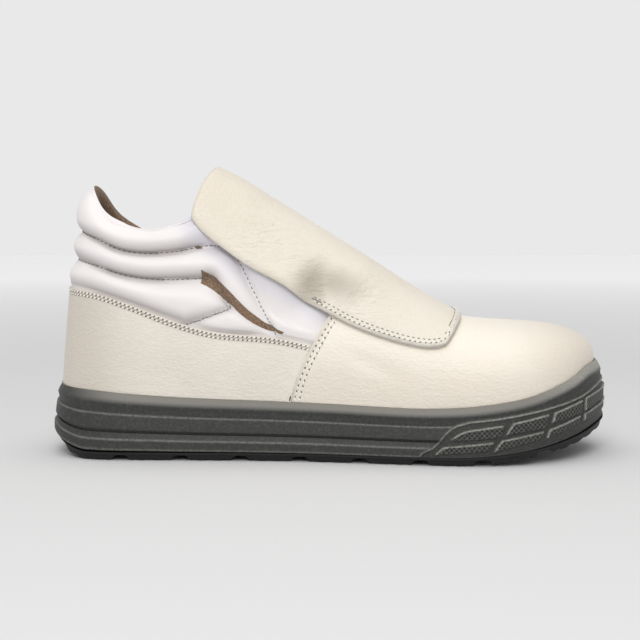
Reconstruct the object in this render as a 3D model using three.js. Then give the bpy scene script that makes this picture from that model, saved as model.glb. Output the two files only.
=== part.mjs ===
// A white slip-on safety shoe for the right foot, standing on its sole.
// Millimetres, +Z up, toe towards +X, outer side of the foot towards -Y, floor at z = 0.
import * as THREE from "three";
import { mergeVertices } from "three/addons/utils/BufferGeometryUtils.js";

const { degToRad, lerp, smoothstep } = THREE.MathUtils;

// Driving dimensions.
const soleLength = 309; // heel to toe tip, outside
const soleWidth = 108; // across the ball, outside
const sideHeight = 30.5; // floor to the rim of the sole, at the waist
const instepRise = 124; // rim at the waist to the top of the ankle
const toeSpring = 16; // lift of the sole at the toe tip
const springStart = 60; // where the lift starts, ahead of the middle of the sole
const heelBevel = 8; // lift of the sole at the back of the heel
const heelBevelLength = 22;
const treadThickness = 4.2;
const lugDepth = 2;
const lugPitch = 32;
const lugGroove = 6;
const groovedLength = 0.75; // share of the sole's length that has grooves
const grooveDraft = 0.4; // slope of a groove's wall, along the sole
const treadInset = 0.7; // upper edge of the tread, behind the outline
const treadDraft = 1.5; // its lower edge, further in
const cupWall = 5.7; // outline of the sole to the inner face of its rim
const ribDepth = 3.4; // deepest step of the sole's side
const blockProud = 1.2; // how far the bumper's blocks stand out of it, up to the outline
const blockPitch = degToRad(13.7); // along the outline's angle
const blockGap = degToRad(1.6);
const leanFade = degToRad(20); // over which the side's grid takes up the blocks' slope
const blockDraft = degToRad(0.35);
const blockLean = degToRad(8); // how far the gaps between blocks slope forward, foot to rim
const bumperStart = degToRad(111.6); // first block
const bumperFrame = degToRad(2); // plain border behind the first block
const footbedShare = 0.5; // footbed under the ball, as a share of sideHeight
const insoleThickness = 4;
const liningWall = 2.2; // lining and backing of the upper
const panelThickness = 1.6; // leather of vamp and quarter panel
const seamSwell = 0.7; // the vamp's turned edge is this much thicker
const panelBite = 3; // how far the panels go down behind the rim
const rollHeight = 2.9; // padding of the collar above its backing
const creaseDepth = 2; // quilting lines, below the backing's own surface
const puffHeight = 1.6; // padding under the flap
const crestHeight = 3; // rounding of the collar's edge
const flapThickness = 2.2;
const flapLift = 1; // flap above the panels, where it is sewn down
const clearance = 0.3; // between pieces that meet
const insoleFit = 0.9; // loose insole to the lining

const featherInset = cupWall + clearance + panelThickness + clearance;
const panelOutside = clearance + panelThickness;
const flapInside = panelOutside + flapLift;

// The sole's outline: its half widths to both sides of the middle line, as shares of the
// sole's width, against the share of its length from the heel.
const outline = [
  { along: 0, outer: 0, inner: 0 },
  { along: 0.03, outer: 0.238, inner: 0.238 },
  { along: 0.1, outer: 0.33, inner: 0.33 },
  { along: 0.2, outer: 0.347, inner: 0.338 },
  { along: 0.33, outer: 0.357, inner: 0.312 },
  { along: 0.45, outer: 0.38, inner: 0.318 },
  { along: 0.58, outer: 0.436, inner: 0.4 },
  { along: 0.7, outer: 0.491, inner: 0.478 },
  { along: 0.78, outer: 0.5, inner: 0.5 },
  { along: 0.86, outer: 0.454, inner: 0.478 },
  { along: 0.93, outer: 0.335, inner: 0.388 },
  { along: 0.975, outer: 0.178, inner: 0.247 },
  { along: 1, outer: -0.035, inner: 0.035 },
].map((row) => ({ ...row, angle: Math.acos(1 - 2 * row.along) }));

// Rim of the sole, as a share of sideHeight.
const rim = [
  { along: 0.02, height: 1.255 },
  { along: 0.08, height: 1.21 },
  { along: 0.16, height: 1.14 },
  { along: 0.265, height: 1.075 },
  { along: 0.37, height: 1.04 },
  { along: 0.5, height: 1 },
  { along: 0.633, height: 0.955 },
  { along: 0.7, height: 0.97 },
  { along: 0.765, height: 1.026 },
  { along: 0.833, height: 1.138 },
  { along: 0.885, height: 1.295 },
  { along: 0.926, height: 1.459 },
  { along: 0.953, height: 1.6 },
  { along: 0.985, height: 1.66 },
];

// Inside of the cup above the walking surface, against its height under the ball.
const footbed = [
  { along: 0.03, height: 1.7 },
  { along: 0.3, height: 1.45 },
  { along: 0.6, height: 1.05 },
  { along: 0.75, height: 1 },
  { along: 0.97, height: 0.92 },
];

// The ridge over toe and instep, and the top of the ankle behind it, as shares of instepRise.
const ridge = [
  { along: 0.225, height: 1 },
  { along: 0.267, height: 0.997 },
  { along: 0.303, height: 0.98 },
  { along: 0.358, height: 0.907 },
  { along: 0.384, height: 0.863 },
  { along: 0.47, height: 0.73 },
  { along: 0.556, height: 0.596 },
  { along: 0.642, height: 0.4565 },
  { along: 0.686, height: 0.391 },
  { along: 0.72, height: 0.346 },
  { along: 0.77, height: 0.327 },
  { along: 0.824, height: 0.318 },
];

// Sections of the last, each running up from the rim to the ridge. Fullness makes a section
// squarer, lean brings its top in, belly pushes its side out, all as shares of its half width.
const sections = [
  { along: 0, spine: 0.225, full: 6, lean: 0.17, belly: 0 },
  { along: 0.06, spine: 0.228, full: 5.5, lean: 0.14, belly: 0.03 },
  { along: 0.12, spine: 0.245, full: 4.8, lean: 0.1, belly: 0.09 },
  { along: 0.2, spine: 0.285, full: 4, lean: 0.06, belly: 0.14 },
  { along: 0.32, spine: 0.36, full: 3.1, lean: 0.03, belly: 0.13 },
  { along: 0.42, spine: 0.44, full: 2.6, lean: 0, belly: 0.1 },
  { along: 0.52, spine: 0.53, full: 2.3, lean: 0, belly: 0.07 },
  { along: 0.62, spine: 0.62, full: 2.2, lean: 0, belly: 0.05 },
  { along: 0.72, spine: 0.702, full: 2.3, lean: 0, belly: 0.04 },
  { along: 0.82, spine: 0.77, full: 2.5, lean: 0, belly: 0.03 },
  { along: 0.92, spine: 0.812, full: 2.5, lean: 0, belly: 0.01 },
  { along: 1, spine: 0.824, full: 2.4, lean: 0, belly: 0 },
];

// Edges and quilting lines, seen from the side.
const topline = [
  { along: 0.07, height: 0.922 },
  { along: 0.0825, height: 0.908 },
  { along: 0.105, height: 0.823 },
  { along: 0.122, height: 0.781 },
  { along: 0.142, height: 0.754 },
  { along: 0.185, height: 0.729 },
  { along: 0.222, height: 0.738 },
  { along: 0.26, height: 0.771 },
  { along: 0.3, height: 0.826 },
  { along: 0.338, height: 0.887 },
  { along: 0.358, height: 0.907 },
];
const upperCrease = [
  { along: 0.05, height: 0.744 },
  { along: 0.1, height: 0.697 },
  { along: 0.14, height: 0.654 },
  { along: 0.185, height: 0.639 },
  { along: 0.238, height: 0.648 },
  { along: 0.294, height: 0.672 },
  { along: 0.323, height: 0.656 },
  { along: 0.343, height: 0.609 },
  { along: 0.369, height: 0.482 },
  { along: 0.396, height: 0.352 },
  { along: 0.415, height: 0.26 },
];
const lowerCrease = [
  { along: 0.05, height: 0.6145 },
  { along: 0.1, height: 0.582 },
  { along: 0.147, height: 0.546 },
  { along: 0.2, height: 0.528 },
  { along: 0.279, height: 0.532 },
  { along: 0.301, height: 0.535 },
  { along: 0.312, height: 0.495 },
  { along: 0.329, height: 0.413 },
  { along: 0.35, height: 0.28 },
];
const quarterEdge = [
  { along: 0.03, height: 0.49 },
  { along: 0.1, height: 0.468 },
  { along: 0.16, height: 0.42 },
  { along: 0.23, height: 0.354 },
  { along: 0.3, height: 0.305 },
  { along: 0.4, height: 0.284 },
  { along: 0.465, height: 0.2526 },
  { along: 0.52, height: 0.22 },
];
const vampEdge = [
  { height: 0, along: 0.4325 },
  { height: 0.082, along: 0.4408 },
  { height: 0.152, along: 0.4515 },
  { height: 0.258, along: 0.4725 },
  { height: 0.385, along: 0.502 },
  { height: 0.496, along: 0.529 },
  { height: 0.593, along: 0.552 },
];
// The flap from its free end to the point of its U: the ridge under it, and its edge.
const flapOutline = [
  { step: 0, ridge: 0.293, edge: 0.26, height: 0.797 },
  { step: 0.06, ridge: 0.31, edge: 0.273, height: 0.742 },
  { step: 0.16, ridge: 0.343, edge: 0.309, height: 0.673 },
  { step: 0.3, ridge: 0.389, edge: 0.359, height: 0.583 },
  { step: 0.46, ridge: 0.47, edge: 0.437, height: 0.472 },
  { step: 0.62, ridge: 0.555, edge: 0.525, height: 0.342 },
  { step: 0.76, ridge: 0.63, edge: 0.607, height: 0.264 },
  { step: 0.87, ridge: 0.684, edge: 0.665, height: 0.231 },
  { step: 0.95, ridge: 0.716, edge: 0.695, height: 0.237 },
  { step: 1, ridge: 0.733, edge: 0.706, height: 0.265 },
];

// Side of the sole, from the seam with the tread to the inner edge of the rim. Height is a
// share of the side's height, inset a share of ribDepth.
const sideProfile = [
  { height: 0.15, inset: 0.03 },
  { height: 0.17, inset: 0 },
  { height: 0.31, inset: 0.03 },
  { height: 0.33, inset: 0.2 },
  { height: 0.42, inset: 0.5 },
  { height: 0.43, inset: 0.8 },
  { height: 0.455, inset: 0.8 },
  { height: 0.465, inset: 0.26 },
  { height: 0.735, inset: 0.53 },
  { height: 0.75, inset: 1 },
  { height: 0.79, inset: 0.96 },
  { height: 0.85, inset: 0.8 },
  { height: 0.93, inset: 0.7 },
  { height: 0.985, inset: 0.8 },
  { height: 1, inset: 1.08 },
];
// The same rows round the toe, where a bumper with two bands of blocks takes the ribs' place.
const bumperProfile = [
  { height: 0.15, inset: 0.1, proud: 0 },
  { height: 0.19, inset: 0.03, proud: 0 },
  { height: 0.21, inset: 0.03, proud: 1 },
  { height: 0.38, inset: 0.03, proud: 1 },
  { height: 0.4, inset: 0.06, proud: 0 },
  { height: 0.42, inset: 0.06, proud: 0 },
  { height: 0.44, inset: 0.08, proud: 1 },
  { height: 0.635, inset: 0.12, proud: 1 },
  { height: 0.655, inset: 0.16, proud: 0 },
  { height: 0.7, inset: 0.25, proud: 0 },
  { height: 0.725, inset: 0.86, proud: 0 },
  { height: 0.83, inset: 0.84, proud: 0 },
  { height: 0.93, inset: 0.7, proud: 0 },
  { height: 0.985, inset: 0.8, proud: 0 },
  { height: 1, inset: 1.08, proud: 0 },
];

// Reads a table as a smooth curve through its rows, and holds its end values.
function readTable(rows, from, to, at) {
  const last = rows.length - 1;
  if (at <= rows[0][from]) return rows[0][to];
  if (at >= rows[last][from]) return rows[last][to];
  const k = rows.findIndex((row) => row[from] > at) - 1;
  const slope = (i) => {
    const before = rows[Math.max(i - 1, 0)];
    const after = rows[Math.min(i + 1, last)];
    return (after[to] - before[to]) / (after[from] - before[from]);
  };
  const span = rows[k + 1][from] - rows[k][from];
  const t = (at - rows[k][from]) / span;
  const u = 1 - t;
  return (
    rows[k][to] * u * u * (1 + 2 * t) +
    rows[k + 1][to] * t * t * (1 + 2 * u) +
    slope(k) * span * t * u * u -
    slope(k + 1) * span * u * t * t
  );
}

// Finds where a rising test turns false between two values.
function bisect(low, high, isBefore) {
  for (let k = 0; k < 26; k += 1) {
    const middle = (low + high) / 2;
    if (isBefore(middle)) low = middle;
    else high = middle;
  }
  return (low + high) / 2;
}

const alongOf = (x) => x / soleLength + 0.5;
const heightAt = (rows, x) => sideHeight + readTable(rows, "along", "height", alongOf(x)) * instepRise;
const rimHeight = (x) => readTable(rim, "along", "height", alongOf(x)) * sideHeight;

// Underside of the sole: flat between the heel's bevel and the toe spring.
function bottomHeight(x) {
  const ahead = Math.max(0, (x - springStart) / (soleLength / 2 - springStart));
  const behind = Math.max(0, (heelBevelLength - soleLength / 2 - x) / heelBevelLength);
  return toeSpring * ahead ** 2 + heelBevel * behind ** 1.5;
}

function footbedHeight(x) {
  const thickness = readTable(footbed, "along", "height", alongOf(x)) * footbedShare * sideHeight;
  return toeSpring * Math.max(0, (x - springStart) / (soleLength / 2 - springStart)) ** 2 + thickness;
}

// A loop value runs round the outline: 0 at the back of the heel, the outer side below zero,
// the inner side above it, and the toe tip at both ends.
function outlinePoint(loop) {
  const turn = loop > Math.PI ? loop - 2 * Math.PI : loop < -Math.PI ? loop + 2 * Math.PI : loop;
  const angle = Math.abs(turn);
  const column = turn < 0 ? "outer" : "inner";
  const half = readTable(outline, "angle", column, angle) * soleWidth;
  return new THREE.Vector2((-Math.cos(angle) * soleLength) / 2, turn < 0 ? -half : half);
}

function planPoint(loop, inset) {
  const step = 0.02;
  const way = outlinePoint(loop + step).sub(outlinePoint(loop - step)).normalize();
  return outlinePoint(loop).add(new THREE.Vector2(way.y, -way.x).multiplyScalar(inset));
}

// The last: a point of the upper's surface on one rib, from the rim (0) to the ridge (1).
function skinPoint(loop, climb) {
  const along = (1 - Math.cos(loop)) / 2;
  const section = (name) => readTable(sections, "along", name, along);
  const foot = planPoint(loop, featherInset);
  const spine = (section("spine") - 0.5) * soleLength;
  const full = section("full");
  const c = Math.max(0, Math.cos((climb * Math.PI) / 2));
  const s = Math.sin((climb * Math.PI) / 2);
  const radius = (c ** full + s ** full) ** (-1 / full);
  const rise = s * radius;
  const belly = section("belly") * Math.sin(Math.PI * rise);
  const reach = c * radius * (1 - section("lean") * rise) + belly;
  return new THREE.Vector3(
    lerp(spine, foot.x, reach),
    foot.y * reach,
    lerp(rimHeight(foot.x), heightAt(ridge, spine), rise),
  );
}

function offsetSkin(loop, climb, offset) {
  const step = 0.004;
  const beside = Math.min(climb, 1 - step);
  const along = skinPoint(loop + step, beside).sub(skinPoint(loop - step, beside));
  const up = skinPoint(loop, Math.min(climb + step, 1)).sub(skinPoint(loop, Math.max(climb - step, 0)));
  return skinPoint(loop, climb).add(up.cross(along).normalize().multiplyScalar(offset));
}

// Where a rib meets a line that is drawn in the side view.
function climbTo(angle, heightOf) {
  return bisect(0, 1, (climb) => {
    const point = skinPoint(-angle, climb);
    return point.z < heightOf(point.x);
  });
}

const spineAngle = (along) =>
  bisect(0, Math.PI, (angle) => readTable(sections, "along", "spine", (1 - Math.cos(angle)) / 2) < along);

// Columns of the upper's grid: 0 at the back of the heel, 1 on the vamp's rear edge and 2 at
// the toe tip. Rows: 0 at the rim, 1 on the quarter panel's edge, 2 and 3 on the quilting
// lines, 4 on the collar's edge or the ridge.
const seamAngles = [...Array(17).keys()].map((k) => {
  const climb = k / 16;
  const angle = bisect(0.8, 2.4, (at) => {
    const point = skinPoint(-at, climb);
    const height = (point.z - sideHeight) / instepRise;
    return alongOf(point.x) < readTable(vampEdge, "height", "along", height);
  });
  return { climb, angle };
});
const seamAngle = (climb) => readTable(seamAngles, "climb", "angle", climb);
const throatAngle = spineAngle(topline[topline.length - 1].along);
const throatColumn = throatAngle / seamAngle(1);
const evenRows = [0, 0.2, 0.4, 0.6, 1];
const leastRow = 0.025;

function rowClimbs(angle, column) {
  const edge = (rows) => climbTo(angle, (x) => heightAt(rows, x));
  const quarter = edge(quarterEdge);
  const lower = Math.max(edge(lowerCrease), quarter + leastRow);
  const upper = Math.max(edge(upperCrease), lower + leastRow);
  const top = column < throatColumn - 1e-6 ? edge(topline) : 1;
  const ahead = smoothstep(column, 1, 1.4);
  return [0, quarter, lower, upper, top].map((climb, k) => lerp(climb, evenRows[k], ahead));
}

const places = new Map();
function placeOf(column, row) {
  const key = `${column} ${row}`;
  if (places.has(key)) return places.get(key);
  let climb = row / 4;
  let angle = 0;
  let climbs = evenRows;
  for (let k = 0; k < 7; k += 1) {
    const seam = seamAngle(climb);
    angle = column < 1 ? column * seam : lerp(seam, Math.PI, column - 1);
    climbs = rowClimbs(angle, column);
    const below = Math.min(Math.floor(row), 3);
    climb = lerp(climbs[below], climbs[below + 1], row - below);
  }
  const place = { angle, climb, climbs };
  places.set(key, place);
  return place;
}

// The padding's surface, measured from the skin: rolls between quilting lines.
function padding(column, row) {
  if (row <= 1 || column >= 1) return 0;
  const { climbs } = placeOf(column, row);
  const below = Math.min(Math.floor(row), 3);
  const part = row - below;
  const front = smoothstep(column, 0.4, 0.6);
  const room = smoothstep(climbs[below + 1] - climbs[below], leastRow, 3 * leastRow);
  const crease = -creaseDepth * room;
  const ends = [0, 0, crease, crease, puffHeight * 0.75];
  const height = lerp(rollHeight, puffHeight, front) * room;
  const swell = Math.sin(Math.PI * part) ** 0.7;
  const fade = smoothstep(1 - column, 0, 0.1);
  return lerp(lerp(ends[below], ends[below + 1], part), height, swell) * fade;
}

function liningDepth(column, row) {
  const padded = smoothstep(row, 0.6, 1.4) * (1 - smoothstep(column, 0.85, 1.1));
  return liningWall + creaseDepth * padded;
}

// A grid vertex of the upper. Lasting rows are below the rim, where the skin goes straight down.
function gridPoint(side, column, row, offset) {
  const { angle, climb } = placeOf(column, row);
  const onRidge = climb > 1 - 1e-6;
  return offsetSkin(onRidge ? -angle : side * angle, climb, offset);
}

function lastingPoint(side, column, offset, heightOf) {
  const { angle } = placeOf(column, 0);
  const plan = planPoint(side * angle, featherInset - offset);
  return new THREE.Vector3(plan.x, plan.y, heightOf(plan.x));
}

// Turns patches, each a grid of points, into one closed mesh.
function makeMesh(name, patches, material) {
  const corners = [];
  const triangle = (a, b, c) => {
    const least = 1e-3;
    if (a.distanceTo(b) < least || b.distanceTo(c) < least || c.distanceTo(a) < least) return;
    for (const p of [a, b, c]) corners.push(p.x, p.y, p.z);
  };
  for (const { rows, flip } of patches) {
    for (let r = 0; r < rows.length - 1; r += 1) {
      for (let c = 0; c < rows[r].length - 1; c += 1) {
        const [a, b] = [rows[r][c], rows[r + 1][c]];
        const [d, e] = [rows[r][c + 1], rows[r + 1][c + 1]];
        if (flip) {
          triangle(a, e, b);
          triangle(a, d, e);
        } else {
          triangle(a, b, e);
          triangle(a, e, d);
        }
      }
    }
  }
  const open = new THREE.BufferGeometry();
  open.setAttribute("position", new THREE.Float32BufferAttribute(corners, 3));
  const geometry = mergeVertices(open, 1e-3);
  geometry.computeVertexNormals();
  const mesh = new THREE.Mesh(geometry, new THREE.MeshStandardMaterial(material));
  mesh.name = name;
  return mesh;
}

const columnOf = (rows, c) => rows.map((row) => row[c]);

// A sheet between an outer and an inner grid, closed all round its border.
function sheetPatches(outer, inner) {
  const top = outer.length - 1;
  const end = outer[0].length - 1;
  return [
    { rows: outer },
    { rows: inner, flip: true },
    { rows: [inner[0], outer[0]] },
    { rows: [outer[top], inner[top]] },
    { rows: [columnOf(outer, 0), columnOf(inner, 0)] },
    { rows: [columnOf(inner, end), columnOf(outer, end)] },
  ];
}

// Values at even steps, both ends included.
function evenly(from, to, count) {
  return [...Array(count + 1).keys()].map((k) => lerp(from, to, k / count));
}

const rollRows = [...evenly(0, 1, 3), ...evenly(1, 2, 3).slice(1), ...evenly(2, 3, 3).slice(1)];
const skinRows = [...rollRows, ...evenly(3, 4, 6).slice(1)];
const backColumns = [...evenly(0, throatColumn, 13), ...evenly(throatColumn, 1, 4).slice(1)];
const frontColumns = [1, 1.03, ...evenly(1.08, 2, 15)];

// Both sides of the shoe in one row of columns, from the toe round the heel to the toe.
function bothSides(columns) {
  const outerSide = [...columns].reverse().map((column) => ({ side: -1, column }));
  return [...outerSide, ...columns.slice(1).map((column) => ({ side: 1, column }))];
}

function makeUpper() {
  const stations = bothSides([...backColumns, ...frontColumns.slice(1)]);
  const collar = stations.filter(({ column }) => column <= throatColumn + 1e-6);
  const bottom = (x) => footbedHeight(x) + clearance;
  const lining = (column, row) => -liningDepth(column, row);
  const outerBottom = stations.map(({ side, column }) => lastingPoint(side, column, 0, bottom));
  const innerBottom = stations.map(({ side, column }) =>
    lastingPoint(side, column, -liningWall, bottom),
  );
  const outerRows = skinRows.map((row) =>
    stations.map(({ side, column }) => gridPoint(side, column, row, padding(column, row))),
  );
  const innerRows = [0, 0.5, 1, 1.6, 2.3, 3, 3.5, 4].map((row) =>
    stations.map(({ side, column }) => gridPoint(side, column, row, lining(column, row))),
  );
  const edgeOutside = collar.map(({ side, column }) => gridPoint(side, column, 4, padding(column, 4)));
  const crest = collar.map(({ side, column }) => {
    const point = gridPoint(side, column, 4, -liningWall / 2);
    point.z += crestHeight * (1 - smoothstep(column, 0.42, 0.6));
    return point;
  });
  const edgeInside = collar.map(({ side, column }) => gridPoint(side, column, 4, lining(column, 4)));
  return makeMesh(
    "upper",
    [
      { rows: [outerBottom, ...outerRows] },
      { rows: [innerBottom, ...innerRows], flip: true },
      { rows: [innerBottom, outerBottom] },
      { rows: [edgeOutside, crest, edgeInside] },
    ],
    { color: 0xe6e0de, roughness: 0.6, metalness: 0 },
  );
}

// A panel over the skin, from behind the rim up to its last row.
function panelGrid(stations, rows, offsetOf) {
  const bite = (x) => rimHeight(x) - panelBite;
  return [
    stations.map(({ side, column }) => lastingPoint(side, column, offsetOf(column, 0), bite)),
    ...rows.map((row) =>
      stations.map(({ side, column }) => gridPoint(side, column, row, offsetOf(column, row))),
    ),
  ];
}

function makeQuarterPanel() {
  const seamGap = clearance / (seamAngle(0) * (soleLength / 2));
  const columns = backColumns.map((column) => Math.min(column, 1 - seamGap));
  const stations = bothSides(columns);
  const rows = evenly(0, 1, 3);
  const outer = panelGrid(stations, rows, () => panelOutside);
  const inner = panelGrid(stations, rows, () => clearance);
  return makeMesh("quarter_panel", sheetPatches(outer, inner), {
    color: 0xdcd4c9,
    roughness: 0.62,
    metalness: 0,
  });
}

function makeVamp() {
  const innerSide = frontColumns.map((column) => ({ side: 1, column }));
  const outerSide = [...frontColumns].reverse().map((column) => ({ side: -1, column }));
  const stations = [...innerSide, ...outerSide.slice(1)];
  const thickness = (column, row) =>
    panelOutside + seamSwell * (1 - smoothstep(column, 1, 1.08)) * smoothstep(row, 0, 0.6);
  const outer = panelGrid(stations, skinRows, thickness);
  const inner = panelGrid(stations, skinRows, () => clearance);
  const end = stations.length - 1;
  return makeMesh(
    "vamp",
    [
      { rows: outer },
      { rows: inner, flip: true },
      { rows: [inner[0], outer[0]] },
      { rows: [columnOf(outer, 0), columnOf(inner, 0)] },
      { rows: [columnOf(inner, end), columnOf(outer, end)] },
    ],
    { color: 0xf0e8da, roughness: 0.6, metalness: 0 },
  );
}

// The flap lies over the ridge, sewn down round its U and free behind the throat.
function makeFlap() {
  const across = evenly(-1, 1, 16);
  const steps = [0, 0.03, 0.09, ...evenly(0.16, 0.87, 13), 0.92, 0.96, 1];
  const lines = steps.map((step) => {
    const read = (name) => readTable(flapOutline, "step", name, step);
    const x = (read("edge") - 0.5) * soleLength;
    const edgeHeight = sideHeight + read("height") * instepRise;
    const edgeX = (angle) => skinPoint(-angle, climbTo(angle, () => edgeHeight)).x;
    const edgeAngle = bisect(0, Math.PI, (angle) => edgeX(angle) < x);
    const edgeClimb = climbTo(edgeAngle, () => edgeHeight);
    const ridgeX = (read("ridge") - 0.5) * soleLength;
    return across.map((share) => {
      const climb = lerp(1, edgeClimb, Math.abs(share));
      const target = lerp(ridgeX, x, share ** 2);
      const angle = bisect(0, Math.PI, (at) => skinPoint(-at, climb).x < target);
      return { loop: share > 0 ? angle : -angle, climb };
    });
  });
  const grid = (offset) =>
    lines.map((line) => line.map(({ loop, climb }) => offsetSkin(loop, climb, offset)));
  const outer = grid(flapInside + flapThickness);
  const inner = grid(flapInside);
  return makeMesh("flap", sheetPatches(outer, inner), {
    color: 0xefe9d7,
    roughness: 0.6,
    metalness: 0,
  });
}

// Closes a loop of points by strips from the outer to the inner side, heel to toe.
function capRows(loopPoints) {
  const last = loopPoints.length - 1;
  const middle = last / 2;
  return [...Array(middle + 1).keys()].map((k) => {
    const a = loopPoints[middle - k];
    const b = loopPoints[middle + k];
    return [a, a.clone().lerp(b, 0.5), b];
  });
}

// A slab between two loops of points, capped above and below.
function slabPatches(under, over) {
  return [{ rows: [under, over] }, { rows: capRows(under), flip: true }, { rows: capRows(over) }];
}

const bothLoops = (angles) => [...[...angles].reverse().map((a) => -a), ...angles.slice(1)];

function makeMidsole() {
  const frameStart = bumperStart - bumperFrame;
  const plain = evenly(0, frameStart - blockDraft, 21).map((angle) => ({ angle, proud: 0 }));
  const blocks = [{ angle: frameStart, proud: 0 }];
  for (let start = bumperStart; start < Math.PI; start += blockPitch) {
    const end = start + blockPitch - blockGap;
    blocks.push({ angle: start - blockDraft, proud: 0 });
    blocks.push({ angle: start, proud: 1 });
    blocks.push({ angle: (start + end) / 2, proud: 1 });
    blocks.push({ angle: end, proud: 1 });
    blocks.push({ angle: end + blockDraft, proud: 0 });
  }
  const ahead = blocks.filter(({ angle }) => angle < Math.PI - blockDraft);
  const oneSide = [...plain, ...ahead, { angle: Math.PI, proud: ahead[ahead.length - 1].proud }];
  const stations = [
    ...[...oneSide].reverse().map(({ angle, proud }) => ({ loop: -angle, proud })),
    ...oneSide.slice(1).map(({ angle, proud }) => ({ loop: angle, proud })),
  ];
  const wall = sideProfile.map((side, k) => {
    const bumper = bumperProfile[k];
    return stations.map(({ loop, proud }) => {
      const angle = Math.abs(loop);
      const toe = smoothstep(angle, frameStart - blockDraft, frameStart);
      const share = lerp(side.height, bumper.height, toe);
      const slope = smoothstep(angle, frameStart - leanFade, frameStart) * blockLean;
      const lean = slope * (share - 0.4) * smoothstep(Math.PI - angle, 0, 1);
      const sunk = toe * blockProud * (1 - bumper.proud * proud);
      const inset = lerp(side.inset, bumper.inset, toe) * ribDepth + sunk;
      const plan = planPoint(loop + Math.sign(loop) * lean, inset);
      const bottom = bottomHeight(plan.x);
      return new THREE.Vector3(plan.x, plan.y, lerp(bottom, rimHeight(plan.x), share));
    });
  });
  const seam = wall[0].map((p) => p.clone().setZ(bottomHeight(p.x) + treadThickness + clearance));
  const innerEdge = stations.map(({ loop }) => {
    const plan = planPoint(loop, cupWall);
    return new THREE.Vector3(plan.x, plan.y, rimHeight(plan.x));
  });
  const innerFoot = innerEdge.map((p) => p.clone().setZ(footbedHeight(p.x)));
  return makeMesh(
    "midsole",
    [
      { rows: [seam, ...wall.slice(1), innerEdge, innerFoot] },
      { rows: capRows(seam), flip: true },
      { rows: capRows(innerFoot) },
    ],
    { color: 0x4e4e4c, roughness: 0.7, metalness: 0 },
  );
}

function makeOutsole() {
  const angleAt = (x) => Math.acos((-2 * x) / soleLength);
  const half = lugGroove / 2;
  const profile = [
    { shift: -half, cut: 0 },
    { shift: grooveDraft - half, cut: 1 },
    { shift: half - grooveDraft, cut: 1 },
    { shift: half, cut: 0 },
  ];
  const count = Math.round((groovedLength * soleLength) / lugPitch);
  const reach = (count * lugPitch) / 2;
  const centres = evenly(-reach, reach, count);
  const grooves = centres.flatMap((centre) =>
    profile.map(({ shift, cut }) => ({ angle: angleAt(centre + shift), cut })),
  );
  const spacing = degToRad(5);
  const isClear = (angle) => {
    const x = (-Math.cos(angle) * soleLength) / 2;
    return centres.every((centre) => Math.abs(centre - x) > half + 2 * grooveDraft);
  };
  const plain = evenly(0, Math.PI, Math.round(Math.PI / spacing)).filter(isClear);
  const lines = [...plain.map((angle) => ({ angle, cut: 0 })), ...grooves].sort(
    (a, b) => a.angle - b.angle,
  );
  const stations = [
    ...[...lines].reverse().map(({ angle, cut }) => ({ loop: -angle, cut })),
    ...lines.slice(1).map(({ angle, cut }) => ({ loop: angle, cut })),
  ];
  const ring = (inset, heightOf) =>
    stations.map(({ loop, cut }) => {
      const plan = planPoint(loop, inset);
      return new THREE.Vector3(plan.x, plan.y, heightOf(plan.x, cut));
    });
  const under = ring(treadInset + treadDraft, (x, cut) => bottomHeight(x) + cut * lugDepth);
  const over = ring(treadInset, (x) => bottomHeight(x) + treadThickness);
  return makeMesh("outsole", slabPatches(under, over), {
    color: 0x1b1b1b,
    roughness: 0.75,
    metalness: 0,
  });
}

function makeInsole() {
  const loops = bothLoops(evenly(0, Math.PI, 24));
  const inset = featherInset + liningWall + insoleFit;
  const ring = (lift) =>
    loops.map((loop) => {
      const plan = planPoint(loop, inset);
      return new THREE.Vector3(plan.x, plan.y, footbedHeight(plan.x) + clearance + lift);
    });
  const under = ring(0);
  const over = ring(insoleThickness);
  return makeMesh("insole", slabPatches(under, over), {
    color: 0x57493c,
    roughness: 0.9,
    metalness: 0,
  });
}

const group = new THREE.Group();
group.add(makeOutsole(), makeMidsole(), makeInsole(), makeUpper());
group.add(makeQuarterPanel(), makeVamp(), makeFlap());

export default group;
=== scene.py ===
import math
import bpy
import numpy as np
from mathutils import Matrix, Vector
from mathutils.bvhtree import BVHTree


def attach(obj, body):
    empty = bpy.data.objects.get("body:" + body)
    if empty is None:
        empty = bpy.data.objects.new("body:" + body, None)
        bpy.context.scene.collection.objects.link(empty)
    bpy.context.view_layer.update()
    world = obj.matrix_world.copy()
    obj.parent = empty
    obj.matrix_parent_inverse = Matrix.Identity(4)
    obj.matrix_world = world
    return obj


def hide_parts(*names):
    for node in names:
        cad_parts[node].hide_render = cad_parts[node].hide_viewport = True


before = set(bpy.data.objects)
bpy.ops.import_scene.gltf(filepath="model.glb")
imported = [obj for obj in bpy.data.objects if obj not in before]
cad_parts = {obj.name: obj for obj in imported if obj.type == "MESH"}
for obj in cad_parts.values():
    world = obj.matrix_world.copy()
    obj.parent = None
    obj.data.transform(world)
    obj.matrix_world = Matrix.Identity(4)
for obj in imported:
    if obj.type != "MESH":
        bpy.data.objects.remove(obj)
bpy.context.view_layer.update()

bpy.ops.object.select_all(action="DESELECT")
print("frame loaded")


# small helpers, all lengths in millimetres

def colour(hexText):
    # sRGB hex to the linear values that Blender's sockets take
    parts = [int(hexText[k:k + 2], 16) / 255 for k in (1, 3, 5)]
    return [p / 12.92 if p <= 0.04045 else ((p + 0.055) / 1.055) ** 2.4 for p in parts] + [1.0]


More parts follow.
